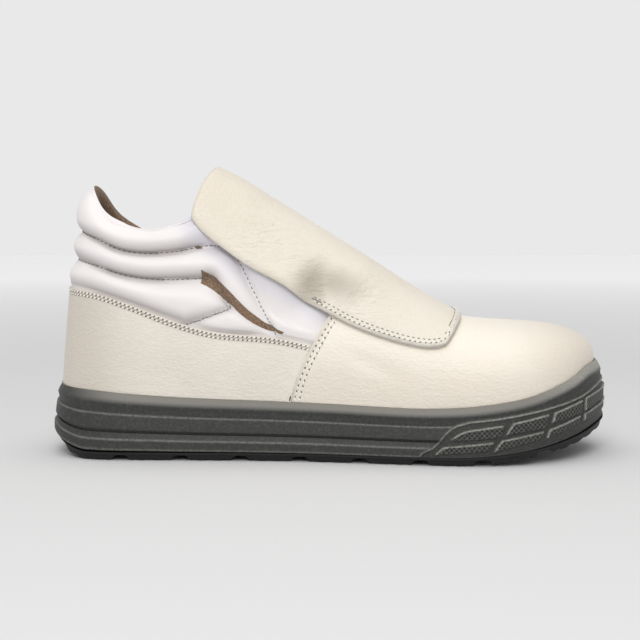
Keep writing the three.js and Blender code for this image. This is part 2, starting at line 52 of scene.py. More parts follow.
def addNode(material, kind, settings=None, links=None):
    # settings go to attributes or input sockets, links are (socket, source node, source socket);
    # a socket has a name, or a number where a node uses one name twice
    made = material.node_tree.nodes.new(kind)
    for name, value in (settings or {}).items():
        if isinstance(name, int) or name in made.inputs:
            made.inputs[name].default_value = value
        else:
            setattr(made, name, value)
    for socket, source, output in links or []:
        material.node_tree.links.new(source.outputs[output], made.inputs[socket])
    return made


def readTable(rows, at):
    # smooth curve through the rows, the same one that shaped the solids; end values are held
    rows = np.asarray(rows, float)
    keys, values = rows[:, 0], rows[:, 1]
    slopes = np.empty(len(keys))
    for i in range(len(keys)):
        low, high = max(i - 1, 0), min(i + 1, len(keys) - 1)
        slopes[i] = (values[high] - values[low]) / (keys[high] - keys[low])
    at = np.clip(np.asarray(at, float), keys[0], keys[-1])
    k = np.clip(np.searchsorted(keys, at, side="right") - 1, 0, len(keys) - 2)
    span = keys[k + 1] - keys[k]
    t = (at - keys[k]) / span
    u = 1 - t
    return (values[k] * u * u * (1 + 2 * t) + values[k + 1] * t * t * (1 + 2 * u)
            + slopes[k] * span * t * u * u - slopes[k + 1] * span * u * t * t)


def smooth(value, low, high):
    t = np.clip((value - low) / (high - low), 0, 1)
    return t * t * (3 - 2 * t)


def activate(piece):
    bpy.ops.object.select_all(action="DESELECT")
    piece.select_set(True)
    bpy.context.view_layer.objects.active = piece


def meshPiece(name, points, faces):
    mesh = bpy.data.meshes.new(name)
    mesh.from_pydata((np.asarray(points) / 1000).tolist(), [], [list(map(int, f)) for f in faces])
    mesh.update()
    piece = bpy.data.objects.new(name, mesh)
    bpy.context.scene.collection.objects.link(piece)
    return piece


def copyOf(nodeName, name):
    # a copy of a solid, its loose triangles merged back to the quads it was made from
    piece = bpy.data.objects.new(name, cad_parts[nodeName].data.copy())
    piece.data.name = name
    piece.data.materials.clear()
    bpy.context.scene.collection.objects.link(piece)
    activate(piece)
    bpy.ops.object.mode_set(mode="EDIT")
    bpy.ops.mesh.select_all(action="SELECT")
    bpy.ops.mesh.remove_doubles(threshold=1e-5)
    bpy.ops.mesh.tris_convert_to_quads(face_threshold=math.radians(60), shape_threshold=math.radians(60))
    bpy.ops.object.mode_set(mode="OBJECT")
    return piece


def closeUp(piece, merge=0.0):
    # merges points that coincide and turns every face outwards
    activate(piece)
    bpy.ops.object.mode_set(mode="EDIT")
    bpy.ops.mesh.select_all(action="SELECT")
    if merge:
        bpy.ops.mesh.remove_doubles(threshold=merge)
    bpy.ops.mesh.normals_make_consistent(inside=False)
    bpy.ops.object.mode_set(mode="OBJECT")


def writeAttribute(piece, name, values):
    piece.data.attributes.new(name, "FLOAT", "POINT").data.foreach_set("value", np.asarray(values, float))


def getPoints(piece):
    points = np.empty(len(piece.data.vertices) * 3)
    piece.data.vertices.foreach_get("co", points)
    return points.reshape(-1, 3) * 1000


def getNormals(piece):
    normals = np.empty(len(piece.data.vertices) * 3)
    piece.data.vertex_normals.foreach_get("vector", normals)
    return normals.reshape(-1, 3)


def setPoints(piece, points):
    piece.data.vertices.foreach_set("co", (np.asarray(points) / 1000).ravel())
    piece.data.update()


def subdivide(piece, levels, crease=0.0, sharpness=50):
    # rounds the cage; its sharp edges keep a small radius
    activate(piece)
    if crease:
        bpy.ops.object.mode_set(mode="EDIT")
        bpy.ops.mesh.select_mode(type="EDGE")
        bpy.ops.mesh.select_all(action="DESELECT")
        bpy.ops.mesh.edges_select_sharp(sharpness=math.radians(sharpness))
        bpy.ops.transform.edge_crease(value=crease)
        bpy.ops.object.mode_set(mode="OBJECT")
    rounding = piece.modifiers.new("Rounding", "SUBSURF")
    rounding.levels = rounding.render_levels = levels
    bpy.ops.object.modifier_apply(modifier=rounding.name)
    piece.data.shade_smooth()


def lineDistance(points, line):
    # least distance of each 2-D point to a polyline, and how far along it that is
    best = np.full(len(points), 1e9)
    along = np.zeros(len(points))
    total = 0.0
    for a, b in zip(line[:-1], line[1:]):
        way = b - a
        length = np.linalg.norm(way)
        t = np.clip(((points - a) @ way) / length ** 2, 0, 1)
        gap = np.linalg.norm(points - (a + t[:, None] * way), axis=1)
        nearer = gap < best
        best[nearer] = gap[nearer]
        along[nearer] = total + t[nearer] * length
        total += length
    return best, along, total


def resample(points, pitch):
    points = np.asarray(points, float)
    steps = np.r_[0, np.cumsum(np.linalg.norm(np.diff(points, axis=0), axis=1))]
    count = max(int(round(steps[-1] / pitch)), 1)
    at = np.linspace(0, steps[-1], count + 1)
    return np.stack([np.interp(at, steps, points[:, k]) for k in range(points.shape[1])], axis=1)


def surfaceOf(piece):
    graph = bpy.context.evaluated_depsgraph_get()
    return BVHTree.FromObject(piece, graph)


def cast(tree, origin, way):
    hit, normal, _, _ = tree.ray_cast(Vector(origin) / 1000, Vector(way))
    return (None, None) if hit is None else (np.array(hit) * 1000, np.array(normal))


def finishPiece(piece, nodeNames=(), material=None):
    if material is not None:
        piece.data.materials.clear()
        piece.data.materials.append(material)
    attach(piece, "root")
    if nodeNames:
        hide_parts(*nodeNames)
    print("made", piece.name, len(piece.data.polygons), "faces")


# camera, floor and light

studio = {
    "cameraPlace": (-5, -640, 123.5), "cameraTilt": 4.6, "lens": 64.7,
    "floorSize": 9000, "skyColour": "#f4f4f4", "skyPower": 0.6, "horizonPower": 0.9,
    "horizonBand": (0.2, 0.45), "frontShare": 0.8,
}

bpy.ops.object.camera_add(location=Vector(studio["cameraPlace"]) / 1000,
                          rotation=(math.radians(90 - studio["cameraTilt"]), 0, 0))
camera = bpy.context.object
camera.data.lens = studio["lens"]
camera.data.sensor_width = 36
camera.data.clip_start = 0.01
bpy.context.scene.camera = camera

bpy.ops.mesh.primitive_plane_add(size=studio["floorSize"] / 1000, location=(0, 0, -0.0002))
floor = bpy.context.object
floor.name = "studioFloor"
floor.data.transform(floor.matrix_world)
floor.matrix_world.identity()

world = bpy.data.worlds.new("softStudio")
world.use_nodes = True
world.node_tree.nodes["Background"].inputs["Color"].default_value = colour(studio["skyColour"])
skyPlace = addNode(world, "ShaderNodeTexCoord")
skyParts = addNode(world, "ShaderNodeSeparateXYZ", None, [("Vector", skyPlace, "Generated")])
skyFall = addNode(world, "ShaderNodeMapRange", {
    "From Min": studio["horizonBand"][0], "From Max": studio["horizonBand"][1],
    "To Min": studio["horizonPower"], "To Max": studio["skyPower"]}, [("Value", skyParts, "Z")])
# the sky is a little brighter behind the shoe, as if a white board stood there, so the room is a little darker on the
# camera's side
sidePower = addNode(world, "ShaderNodeMapRange", {"From Min": -0.6, "From Max": 0.3,
                    "To Min": studio["frontShare"]}, [("Value", skyParts, "Y")])
worldPower = addNode(world, "ShaderNodeMath", {"operation": "MULTIPLY"},
                     [(0, skyFall, "Result"), (1, sidePower, "Result")])
world.node_tree.links.new(worldPower.outputs["Value"], world.node_tree.nodes["Background"].inputs["Strength"])
bpy.context.scene.world = world
bpy.context.scene.view_settings.view_transform = "Standard"

lamps = [  # name, kind, place in mm, size in mm or angle in degrees, power, aims at
    ("keyFromFront", "AREA", (-60, -1050, 900), 650, 7.5, (0, 0, 60)),
    ("topSoft", "SUN", (-150, -100, 1400), 60, 0.98, (0, 0, 60)),
]
for lampName, kind, place, size, power, aim in lamps:
    lamp = bpy.data.lights.new(lampName, kind)
    lamp.energy = power
    if kind == "SUN":
        lamp.angle = math.radians(size)
    else:
        lamp.size = size / 1000
    holder = bpy.data.objects.new(lampName, lamp)
    holder.location = Vector(place) / 1000
    holder.rotation_euler = (Vector(aim) - Vector(place)).to_track_quat("-Z", "Y").to_euler()
    bpy.context.scene.collection.objects.link(holder)
print("studio ready")


# finishes

def newMaterial(name):
    material = bpy.data.materials.new(name)
    material.use_nodes = True
    material.node_tree.nodes.clear()
    return material


def finishMaterial(material, shader):
    addNode(material, "ShaderNodeOutputMaterial", None, [("Surface", shader, "BSDF")])
    return material


# coated microfibre: a polyurethane skin on a nonwoven, embossed with a fine pebbled grain, so it
# is nearly matt with a soft broad sheen
def coatedMicrofibre(name, tint, shade, edge, paintedShadeColour, grain, stretch, relief, roughness):
    made = newMaterial(name)
    place = addNode(made, "ShaderNodeTexCoord")
    long = addNode(made, "ShaderNodeMapping", {"Scale": (stretch, 1, 1)}, [("Vector", place, "Object")])
    pebbles = addNode(made, "ShaderNodeTexVoronoi", {"feature": "SMOOTH_F1", "Scale": 1000 / grain,
                      "Smoothness": 0.6, "Randomness": 0.9}, [("Vector", long, "Vector")])
    folds = addNode(made, "ShaderNodeTexNoise", {"Scale": 1000 / (3 * grain), "Detail": 3.0},
                    [("Vector", long, "Vector")])
    blotches = addNode(made, "ShaderNodeTexNoise", {"Scale": 1000 / 45, "Detail": 4.0, "Roughness": 0.55},
                       [("Vector", place, "Object")])
    tone = addNode(made, "ShaderNodeMapRange", {"From Min": 0.35, "From Max": 0.7},
                   [("Value", blotches, "Fac")])
    skin = addNode(made, "ShaderNodeMix", {"data_type": "RGBA", 6: colour(tint), 7: colour(shade)},
                   [("Factor", tone, "Result")])
    gloss = addNode(made, "ShaderNodeMapRange", {"To Min": roughness - 0.06, "To Max": roughness + 0.08},
                    [("Value", folds, "Fac")])
    grainBump = addNode(made, "ShaderNodeBump", {"Strength": relief, "Distance": 0.0003},
                        [("Height", pebbles, "Distance")])
    foldBump = addNode(made, "ShaderNodeBump", {"Strength": relief * 0.7, "Distance": 0.0005},
                       [("Height", folds, "Fac"), ("Normal", grainBump, "Normal")])
    # fine creases where the skin is bent, drawn only where the piece's crumple attribute says
    bent = addNode(made, "ShaderNodeAttribute", {"attribute_name": "crumple"})
    slanted = addNode(made, "ShaderNodeMapping", {"Rotation": (0, math.radians(-14), 0), "Scale": (0.35, 1, 1.3)},
                      [("Vector", place, "Object")])
    creases = addNode(made, "ShaderNodeTexNoise", {"Scale": 1000 / 2.6, "Detail": 3.0, "Distortion": 0.6},
                      [("Vector", slanted, "Vector")])
    creaseHeight = addNode(made, "ShaderNodeMath", {"operation": "MULTIPLY"},
                           [(0, creases, "Fac"), (1, bent, "Fac")])
    creaseBump = addNode(made, "ShaderNodeBump", {"Strength": 0.75, "Distance": 0.0015},
                         [("Height", creaseHeight, "Value"), ("Normal", foldBump, "Normal")])
    # painted shade: where the piece's attribute says, the colour darkens towards the shade colour, in dents, under
    # rolls and along seams
    paintedShade = addNode(made, "ShaderNodeAttribute", {"attribute_name": "paintedShade"})
    paintedShadeMix = addNode(made, "ShaderNodeMix", {"data_type": "RGBA", 7: colour(paintedShadeColour)},
                      [("Factor", paintedShade, "Fac"), (6, skin, 2)])
    # the edge colour marks the cut edge's own grey and painted shade beside it; on the collar it is only painted
    # lilac shade next to the flap
    cutEdgeAndShadeZone = addNode(made, "ShaderNodeAttribute", {"attribute_name": "cutEdgeAndPaintedShade"})
    cutEdgeAndShadeMix = addNode(made, "ShaderNodeMix", {"data_type": "RGBA", 7: colour(edge)},
                    [("Factor", cutEdgeAndShadeZone, "Fac"), (6, paintedShadeMix, 2)])
    shader = addNode(made, "ShaderNodeBsdfPrincipled",
                     {"IOR": 1.5, "Sheen Weight": 0.12, "Sheen Roughness": 0.5},
                     [("Base Color", cutEdgeAndShadeMix, 2), ("Roughness", gloss, "Result"), ("Normal", creaseBump, "Normal")])
    return finishMaterial(made, shader)


# colours: tint, blotch tone, edge colour, painted shade colour; the collar's edge colour is a painted lilac shade
# beside the flap
vampMicrofibre = coatedMicrofibre("coatedMicrofibreVamp", "#f6eee1", "#f0e7d9", "#cfc8ba", "#d9cfc0",
                                  1.1, 0.55, 0.75, 0.5)
quarterMicrofibre = coatedMicrofibre("coatedMicrofibreQuarter", "#e9e2d7", "#e0d8cc", "#c2bbae", "#c7beb2",
                                     1.1, 0.55, 0.75, 0.55)
flapMicrofibre = coatedMicrofibre("coatedMicrofibreFlap", "#e6ded0", "#dfd6c6", "#aeaaa5", "#aaa293",
                                  0.9, 0.8, 0.7, 0.52)
collarMicrofibre = coatedMicrofibre("whiteMicrofibreCollar", "#ebe6e5", "#e6e1df", "#c0bfce", "#a19b9a",
                                    0.6, 0.9, 0.15, 0.42)

# brushed textile lining: short pile over foam, fully matt, mottled brown
brushedLining = newMaterial("brushedTextileLining")
place = addNode(brushedLining, "ShaderNodeTexCoord")
pile = addNode(brushedLining, "ShaderNodeTexNoise", {"Scale": 1000 / 0.8, "Detail": 5.0, "Roughness": 0.75},
               [("Vector", place, "Object")])
tufts = addNode(brushedLining, "ShaderNodeTexNoise", {"Scale": 1000 / 5, "Detail": 2.0},
                [("Vector", place, "Object")])
fuzzShare = addNode(brushedLining, "ShaderNodeMapRange", {"From Min": 0.3, "From Max": 0.75},
                    [("Value", pile, "Fac")])
fuzz = addNode(brushedLining, "ShaderNodeMix", {"data_type": "RGBA", 6: colour("#4f3d2f"), 7: colour("#b3977d")},
               [("Factor", fuzzShare, "Result")])
pileBump = addNode(brushedLining, "ShaderNodeBump", {"Strength": 0.7, "Distance": 0.0006},
                   [("Height", pile, "Fac")])
tuftBump = addNode(brushedLining, "ShaderNodeBump", {"Strength": 0.4, "Distance": 0.001},
                   [("Height", tufts, "Fac"), ("Normal", pileBump, "Normal")])
liningShader = addNode(brushedLining, "ShaderNodeBsdfPrincipled", {"Roughness": 0.95, "Sheen Weight": 0.08,
                       "Sheen Roughness": 0.6, "Specular IOR Level": 0.2},
                       [("Base Color", fuzz, 2), ("Normal", tuftBump, "Normal")])
finishMaterial(brushedLining, liningShader)

# moulded polyurethane foam skin: spark-eroded mould texture, so matt with fine speckles
mouldedSole = newMaterial("mouldedPolyurethaneCup")
place = addNode(mouldedSole, "ShaderNodeTexCoord")
speckle = addNode(mouldedSole, "ShaderNodeTexNoise", {"Scale": 1000 / 1.3, "Detail": 4.0, "Roughness": 0.75},
                  [("Vector", place, "Object")])
cloud = addNode(mouldedSole, "ShaderNodeTexNoise", {"Scale": 1000 / 30, "Detail": 3.0},
                [("Vector", place, "Object")])
speckleShare = addNode(mouldedSole, "ShaderNodeMapRange", {"From Min": 0.45, "From Max": 0.75},
                       [("Value", speckle, "Fac")])
speckleTone = addNode(mouldedSole, "ShaderNodeMix", {"data_type": "RGBA", 6: colour("#2c2e2c"),
                      7: colour("#484944")}, [("Factor", speckleShare, "Result")])
speckleBump = addNode(mouldedSole, "ShaderNodeBump", {"Strength": 0.35, "Distance": 0.0003},
                      [("Height", speckle, "Fac")])
pattern = addNode(mouldedSole, "ShaderNodeUVMap", {"uv_map": "pattern"})
dots = addNode(mouldedSole, "ShaderNodeVectorMath", {"operation": "SINE"}, [("Vector", pattern, "UV")])
dotParts = addNode(mouldedSole, "ShaderNodeSeparateXYZ", None, [("Vector", dots, "Vector")])
dotField = addNode(mouldedSole, "ShaderNodeMath", {"operation": "MULTIPLY"},
                   [(0, dotParts, "X"), (1, dotParts, "Y")])
dotHoles = addNode(mouldedSole, "ShaderNodeMapRange", {"From Min": 0.02, "From Max": 0.35},
                   [("Value", dotField, "Value")])
blockFace = addNode(mouldedSole, "ShaderNodeAttribute", {"attribute_name": "blockFace"})
holes = addNode(mouldedSole, "ShaderNodeMath", {"operation": "MULTIPLY"},
                [(0, dotHoles, "Result"), (1, blockFace, "Fac")])
# painted light: the rim's top band, which faces up, is lighter
rimPaintedLightZone = addNode(mouldedSole, "ShaderNodeAttribute", {"attribute_name": "rimPaintedLight"})
rimPaintedLightColour = addNode(mouldedSole, "ShaderNodeMix", {"data_type": "RGBA", 7: colour("#7a7771")},
                    [("Factor", rimPaintedLightZone, "Fac"), (6, speckleTone, 2)])
# painted highlights: pale lines on the ribs' edges, the bumper's outline, the blocks' lips and the toe's rim, broken
# up by the speckles
edgeHighlightZone = addNode(mouldedSole, "ShaderNodeAttribute", {"attribute_name": "edgeHighlight"})
edgeHighlightNoise = addNode(mouldedSole, "ShaderNodeMapRange", {"From Min": 0.35, "From Max": 0.6, "To Min": 0.35},
                      [("Value", speckle, "Fac")])
edgeHighlightPart = addNode(mouldedSole, "ShaderNodeMath", {"operation": "MULTIPLY"},
                     [(0, edgeHighlightZone, "Fac"), (1, edgeHighlightNoise, "Result")])
edgeHighlightColour = addNode(mouldedSole, "ShaderNodeMix", {"data_type": "RGBA", 7: colour("#a3a29b")},
                       [("Factor", edgeHighlightPart, "Value"), (6, rimPaintedLightColour, 2)])
# painted shade: the dot pits on the blocks are near-black
cupColour = addNode(mouldedSole, "ShaderNodeMix", {"data_type": "RGBA", 7: colour("#161615")},
                    [("Factor", holes, "Value"), (6, edgeHighlightColour, 2)])
holeBump = addNode(mouldedSole, "ShaderNodeBump", {"Strength": 0.8, "Distance": 0.0006, "invert": True},
                   [("Height", holes, "Value"), ("Normal", speckleBump, "Normal")])
cupGloss = addNode(mouldedSole, "ShaderNodeMapRange", {"To Min": 0.5, "To Max": 0.68},
                   [("Value", cloud, "Fac")])
cupShader = addNode(mouldedSole, "ShaderNodeBsdfPrincipled", {"IOR": 1.5}, [("Base Color", cupColour, 2),
                    ("Roughness", cupGloss, "Result"), ("Normal", holeBump, "Normal")])
finishMaterial(mouldedSole, cupShader)

# dense polyurethane tread: near-black, matt, a little dusty where it meets the floor
denseTread = newMaterial("densePolyurethaneTread")
place = addNode(denseTread, "ShaderNodeTexCoord")
treadNoise = addNode(denseTread, "ShaderNodeTexNoise", {"Scale": 1000 / 1.5, "Detail": 4.0},
                     [("Vector", place, "Object")])
treadTone = addNode(denseTread, "ShaderNodeMix", {"data_type": "RGBA", 6: colour("#0c0c0d"),
                    7: colour("#171717")}, [("Factor", treadNoise, "Fac")])
treadBump = addNode(denseTread, "ShaderNodeBump", {"Strength": 0.4, "Distance": 0.0003},
                    [("Height", treadNoise, "Fac")])
treadShader = addNode(denseTread, "ShaderNodeBsdfPrincipled", {"Roughness": 0.65},
                      [("Base Color", treadTone, 2), ("Normal", treadBump, "Normal")])
finishMaterial(denseTread, treadShader)


# sewing thread: twisted polyester, slightly glossy; the twist is drawn as fine stripes
def sewingThread(name, tint, shade):
    made = newMaterial(name)
    place = addNode(made, "ShaderNodeTexCoord")
    twist = addNode(made, "ShaderNodeTexWave", {"Scale": 1000 / 2.2, "Distortion": 2.0, "Detail": 1.0},
                    [("Vector", place, "Object")])
    ply = addNode(made, "ShaderNodeMix", {"data_type": "RGBA", 6: colour(shade), 7: colour(tint)},
                  [("Factor", twist, "Fac")])
    shader = addNode(made, "ShaderNodeBsdfPrincipled", {"Roughness": 0.5}, [("Base Color", ply, 2)])
    return finishMaterial(made, shader)


whiteThread = sewingThread("polyesterThreadWhite", "#fdfcf8", "#e8e4da")
greyThread = sewingThread("polyesterThreadGrey", "#8f8b86", "#73706a")

# needle holes: dark pits where the thread goes in
needleHole = newMaterial("needleHoleShade")
place = addNode(needleHole, "ShaderNodeTexCoord")
holeNoise = addNode(needleHole, "ShaderNodeTexNoise", {"Scale": 1000 / 2}, [("Vector", place, "Object")])
holeTone = addNode(needleHole, "ShaderNodeMix", {"data_type": "RGBA", 6: colour("#5f584f"),
                   7: colour("#7a7267")}, [("Factor", holeNoise, "Fac")])
holeShader = addNode(needleHole, "ShaderNodeBsdfPrincipled", {"Roughness": 0.9}, [("Base Color", holeTone, 2)])
finishMaterial(needleHole, holeShader)

# studio floor: smooth painted board, almost white; its colour is darker near the shoe and pure white far off, painted
# light that evens out where the lamps light it, so it meets the sky without a line
floorPaint = newMaterial("mattWhiteBoard")
place = addNode(floorPaint, "ShaderNodeTexCoord")
floorReach = addNode(floorPaint, "ShaderNodeVectorMath", {"operation": "LENGTH"}, [("Vector", place, "Object")])
floorFar = addNode(floorPaint, "ShaderNodeMapRange", {"From Min": 0.5, "From Max": 2.2},
                   [("Value", floorReach, "Value")])
floorPaintedLight = addNode(floorPaint, "ShaderNodeMix", {"data_type": "RGBA", 6: colour("#d6d6d6"),
                    7: colour("#ffffff")}, [("Factor", floorFar, "Result")])
floorShader = addNode(floorPaint, "ShaderNodeBsdfPrincipled", {"Roughness": 0.9, "Specular IOR Level": 0.1},
                      [("Base Color", floorPaintedLight, 2)])
finishMaterial(floorPaint, floorShader)
floor.data.materials.append(floorPaint)
print("finishes ready")


# cup sole and tread: the same outline and heights as the solids, with their fine relief

soleShape = {
    "length": 309, "width": 108, "sideHeight": 30.5, "toeSpring": 16, "springStart": 60,
    "heelBevel": 10.5, "heelBevelLength": 24, "cupWall": 5.7, "treadThickness": 4.2,
    "outer": [(0, 0), (0.03, 0.238), (0.1, 0.33), (0.2, 0.347), (0.33, 0.357), (0.45, 0.38), (0.58, 0.436),
              (0.7, 0.491), (0.78, 0.5), (0.86, 0.454), (0.93, 0.335), (0.975, 0.178), (1, -0.035)],
    "inner": [(0, 0), (0.03, 0.238), (0.1, 0.33), (0.2, 0.338), (0.33, 0.312), (0.45, 0.318), (0.58, 0.4),
              (0.7, 0.478), (0.78, 0.5), (0.86, 0.478), (0.93, 0.388), (0.975, 0.247), (1, 0.035)],
    "rim": [(0.02, 1.255), (0.08, 1.21), (0.16, 1.14), (0.265, 1.075), (0.37, 1.04), (0.5, 1), (0.633, 0.955),
            (0.7, 0.97), (0.765, 1.026), (0.833, 1.138), (0.885, 1.295), (0.926, 1.459), (0.953, 1.6),
            (0.985, 1.66)],
}
byAngle = {side: [(math.acos(1 - 2 * along), half) for along, half in soleShape[side]]
           for side in ("outer", "inner")}


def outlineAt(loop):
    turn = np.where(loop > math.pi, loop - 2 * math.pi, np.where(loop < -math.pi, loop + 2 * math.pi, loop))
    angle = np.abs(turn)
    half = np.where(turn < 0, readTable(byAngle["outer"], angle), readTable(byAngle["inner"], angle))
    half = half * soleShape["width"]
    return np.stack([-np.cos(angle) * soleShape["length"] / 2, np.where(turn < 0, -half, half)], axis=-1)


def planAt(loop, inset):
    way = outlineAt(loop + 0.02) - outlineAt(loop - 0.02)
    way = way / np.linalg.norm(way, axis=-1, keepdims=True)
    return outlineAt(loop) + np.stack([way[..., 1], -way[..., 0]], axis=-1) * np.asarray(inset)[..., None]


def rimAt(x):
    return readTable(soleShape["rim"], x / soleShape["length"] + 0.5) * soleShape["sideHeight"]


def bottomAt(x):
    half = soleShape["length"] / 2
    ahead = np.maximum(0, (x - soleShape["springStart"]) / (half - soleShape["springStart"]))
    behind = np.maximum(0, (soleShape["heelBevelLength"] - half - x) / soleShape["heelBevelLength"])
    return soleShape["toeSpring"] * ahead ** 2 + soleShape["heelBevel"] * behind ** 1.5


arcAngles = np.linspace(0, math.pi, 2001)
arcPoints = outlineAt(-arcAngles)
arcLengths = np.r_[0, np.cumsum(np.linalg.norm(np.diff(arcPoints, axis=0), axis=1))]


def arcAt(x):
    # length round the outer side from the heel, for a place read in side view
    return np.interp(np.arccos(np.clip(-2 * np.asarray(x, float) / soleShape["length"], -1, 1)),
                     arcAngles, arcLengths)


cup = {
    # height as a share of the side, inset from the outline in mm
    "ribs": [(0.148, 0.5), (0.152, 0.2), (0.165, 0.0), (0.295, 0.08), (0.312, 0.25), (0.322, 0.6), (0.328, 0.8),
             (0.415, 1.75), (0.422, 2.8), (0.452, 2.8), (0.46, 1.15), (0.47, 0.9), (0.5, 0.95), (0.673, 1.65),
             (0.688, 1.85), (0.696, 2.1), (0.7, 2.7), (0.708, 2.9), (0.79, 2.75), (0.845, 2.35), (0.865, 2.5),
             (0.89, 2.85), (0.92, 3.3), (0.95, 3.85), (0.975, 4.4), (0.99, 4.85), (1.0, 5.3)],
    "bumper": [(0.148, 0.8), (0.16, 1.3), (0.3, 1.3), (0.6, 1.5), (0.8, 2.3), (1.0, 3.3)], "heelTuck": 1.3,
    "bumperTop": [(46.9, 4.5), (47.4, 6.1), (50, 7.6), (53, 9), (56, 12), (59.5, 16.3), (62.5, 19.2), (65.6, 21),
                  (72.3, 22.9), (84.9, 24.3), (98, 26.2), (111.3, 28.6), (125.9, 31.6), (138.6, 35.2),
                  (149, 39.2), (154.4, 41.5)],
    # corners of the blocks in side view: rear top, front top, front foot, rear foot
    "blocks": [
        ((68.2, 18.6), (91.5, 21.8), (88.6, 15.1), (60.1, 12.7)),
        ((95.1, 22.7), (115.1, 26.7), (113.7, 19.6), (90.9, 16.3)),
        ((118.1, 27.3), (135.5, 32.4), (134.9, 25.2), (116.5, 21.7)),
        ((58.6, 10.1), (85.2, 12.9), (82.6, 8.1), (54.0, 5.7)),
        ((88.9, 13.8), (112.1, 18.0), (110.7, 13.9), (84.5, 7.4)),
        ((114.9, 18.5), (134.3, 24.3), (133.4, 20.4), (113.2, 13.7)),
    ],
    "tipBlocks": [((137.5, 33.3), (154.4, 38.0), (154.4, 32.5), (137.2, 26.0)),
                  ((137.0, 24.9), (154.4, 30.5), (154.4, 25.5), (136.0, 20.8))],
    "highlightEdges": (0.17, 0.318, 0.69),
    "blockHeight": 1.2, "lipHeight": 0.45, "lipWidth": 0.9, "cornerRound": 0.35, "ridgeHeight": 0.8, "dotPitch": 1.3,
    "finePitch": 0.55, "coarsePitch": 2.2, "rowPitch": 0.45,
}

# stations round the outline, close together where the bumper is
bumperAngle = math.acos(-2 * 44 / soleShape["length"])
coarse = np.linspace(0, bumperAngle, int(np.interp(bumperAngle, arcAngles, arcLengths) / cup["coarsePitch"]))
fineLength = arcLengths[-1] - np.interp(bumperAngle, arcAngles, arcLengths)
fineArc = np.linspace(arcLengths[-1] - fineLength, arcLengths[-1], int(fineLength / cup["finePitch"]))
fine = np.interp(fineArc, arcLengths, arcAngles)
sideAngles = np.r_[coarse, fine[1:]]
loops = np.r_[-sideAngles[::-1], sideAngles[1:-1]]
knots = [share for share, _ in cup["ribs"]]
shares = [knots[0]]
for low, high in zip(knots[:-1], knots[1:]):
    steps = max(1, int(round((high - low) * soleShape["sideHeight"] / cup["rowPitch"])))
    shares += [low + (high - low) * (k + 1) / steps for k in range(steps)]
shares = np.array(shares)

loopGrid, shareGrid = np.meshgrid(loops, shares)
arcGrid = np.interp(np.abs(loopGrid), arcAngles, arcLengths)
outlineGrid = outlineAt(loopGrid)
heightGrid = bottomAt(outlineGrid[..., 0]) * (1 - shareGrid) + rimAt(outlineGrid[..., 0]) * shareGrid
flat = np.stack([arcGrid.reshape(-1), heightGrid.reshape(-1)], axis=1)
alongWall, shareWall = outlineGrid[..., 0].reshape(-1), shareGrid.reshape(-1)


def toArc(corners):
    return np.array([(float(arcAt(x)), z) for x, z in corners])


topLine = toArc(cup["bumperTop"])
gap, _, _ = lineDistance(flat, topLine)
inside = (flat[:, 1] < np.interp(flat[:, 0], topLine[:, 0], topLine[:, 1])) & (flat[:, 0] > topLine[0, 0])
signed = np.where(inside, gap, -gap)
ribInset = np.interp(shareWall, *np.array(cup["ribs"]).T)
# above the bumper the upper rib runs out towards the toe
towardsTip = smooth(alongWall, 92, 118) * smooth(shareWall, 0.47, 0.5)
ribInset = np.where(shareWall < 0.8, ribInset + (2.4 - ribInset) * towardsTip, ribInset)
bumperInset = np.interp(shareWall, *np.array(cup["bumper"]).T)
inBumper = smooth(signed, -0.3, 0.3)
insets = ribInset + (bumperInset - ribInset) * inBumper
aboveSeam = smooth(flat[:, 1] - bottomAt(alongWall), 4.4, 5.2)
insets -= cup["ridgeHeight"] * np.exp(-(gap / 0.6) ** 2) * aboveSeam
blockFace = np.zeros(len(flat))
# painted highlight along the bumper's outline and on the ribs' edges, and below on the blocks' lips and faces
edgeHighlight = 0.8 * np.exp(-(gap / 0.4) ** 2) * aboveSeam
for edgeShare in cup["highlightEdges"]:
    edgeHighlight = np.maximum(edgeHighlight, np.exp(-((shareWall - edgeShare) / 0.012) ** 2) * (1 - inBumper)
                        * (1 - towardsTip) * 0.36)
for number, corners in enumerate(cup["blocks"] + cup["tipBlocks"]):
    corners = toArc(corners)
    sides = []
    for a, b in zip(corners, np.roll(corners, -1, axis=0)):
        way = (b - a) / np.linalg.norm(b - a)
        sides.append((flat - a) @ np.array([way[1], -way[0]]))
    roundness = cup["cornerRound"] * (3 if number == 0 else 1)
    depth = -roundness * np.log(np.sum(np.exp(-np.array(sides) / roundness), axis=0))
    backTop = -roundness * np.log(np.exp(-sides[0] / roundness) + np.exp(-sides[3] / roundness))
    proud = smooth(depth, -0.25, 0.35)
    wave = 0.22 * np.sin(flat[:, 0] * 2 * math.pi / cup["dotPitch"])
    lip = smooth(backTop, cup["lipWidth"] - wave + 0.25, cup["lipWidth"] - wave - 0.25) * proud
    if corners[0, 0] > topLine[0, 0] + 110:
        lip = np.maximum(lip, proud * (0.5 + 0.5 * np.cos(depth * 2 * math.pi / 1.9)))
    insets -= cup["blockHeight"] * proud * 0.75 + cup["lipHeight"] * lip
    blockFace = np.maximum(blockFace, proud * (1 - lip) * (depth > 0.3))
    edgeHighlight = np.maximum(edgeHighlight, np.maximum(lip, 0.14 * proud))

insets += cup["heelTuck"] * (1 - smooth(np.abs(loopGrid.ravel()), 0.15, 0.6))
plan = planAt(loopGrid, insets.reshape(loopGrid.shape))
wall = np.concatenate([plan, (bottomAt(plan[..., 0]) * (1 - shareGrid) + rimAt(plan[..., 0]) * shareGrid)[..., None]],
                      axis=-1)


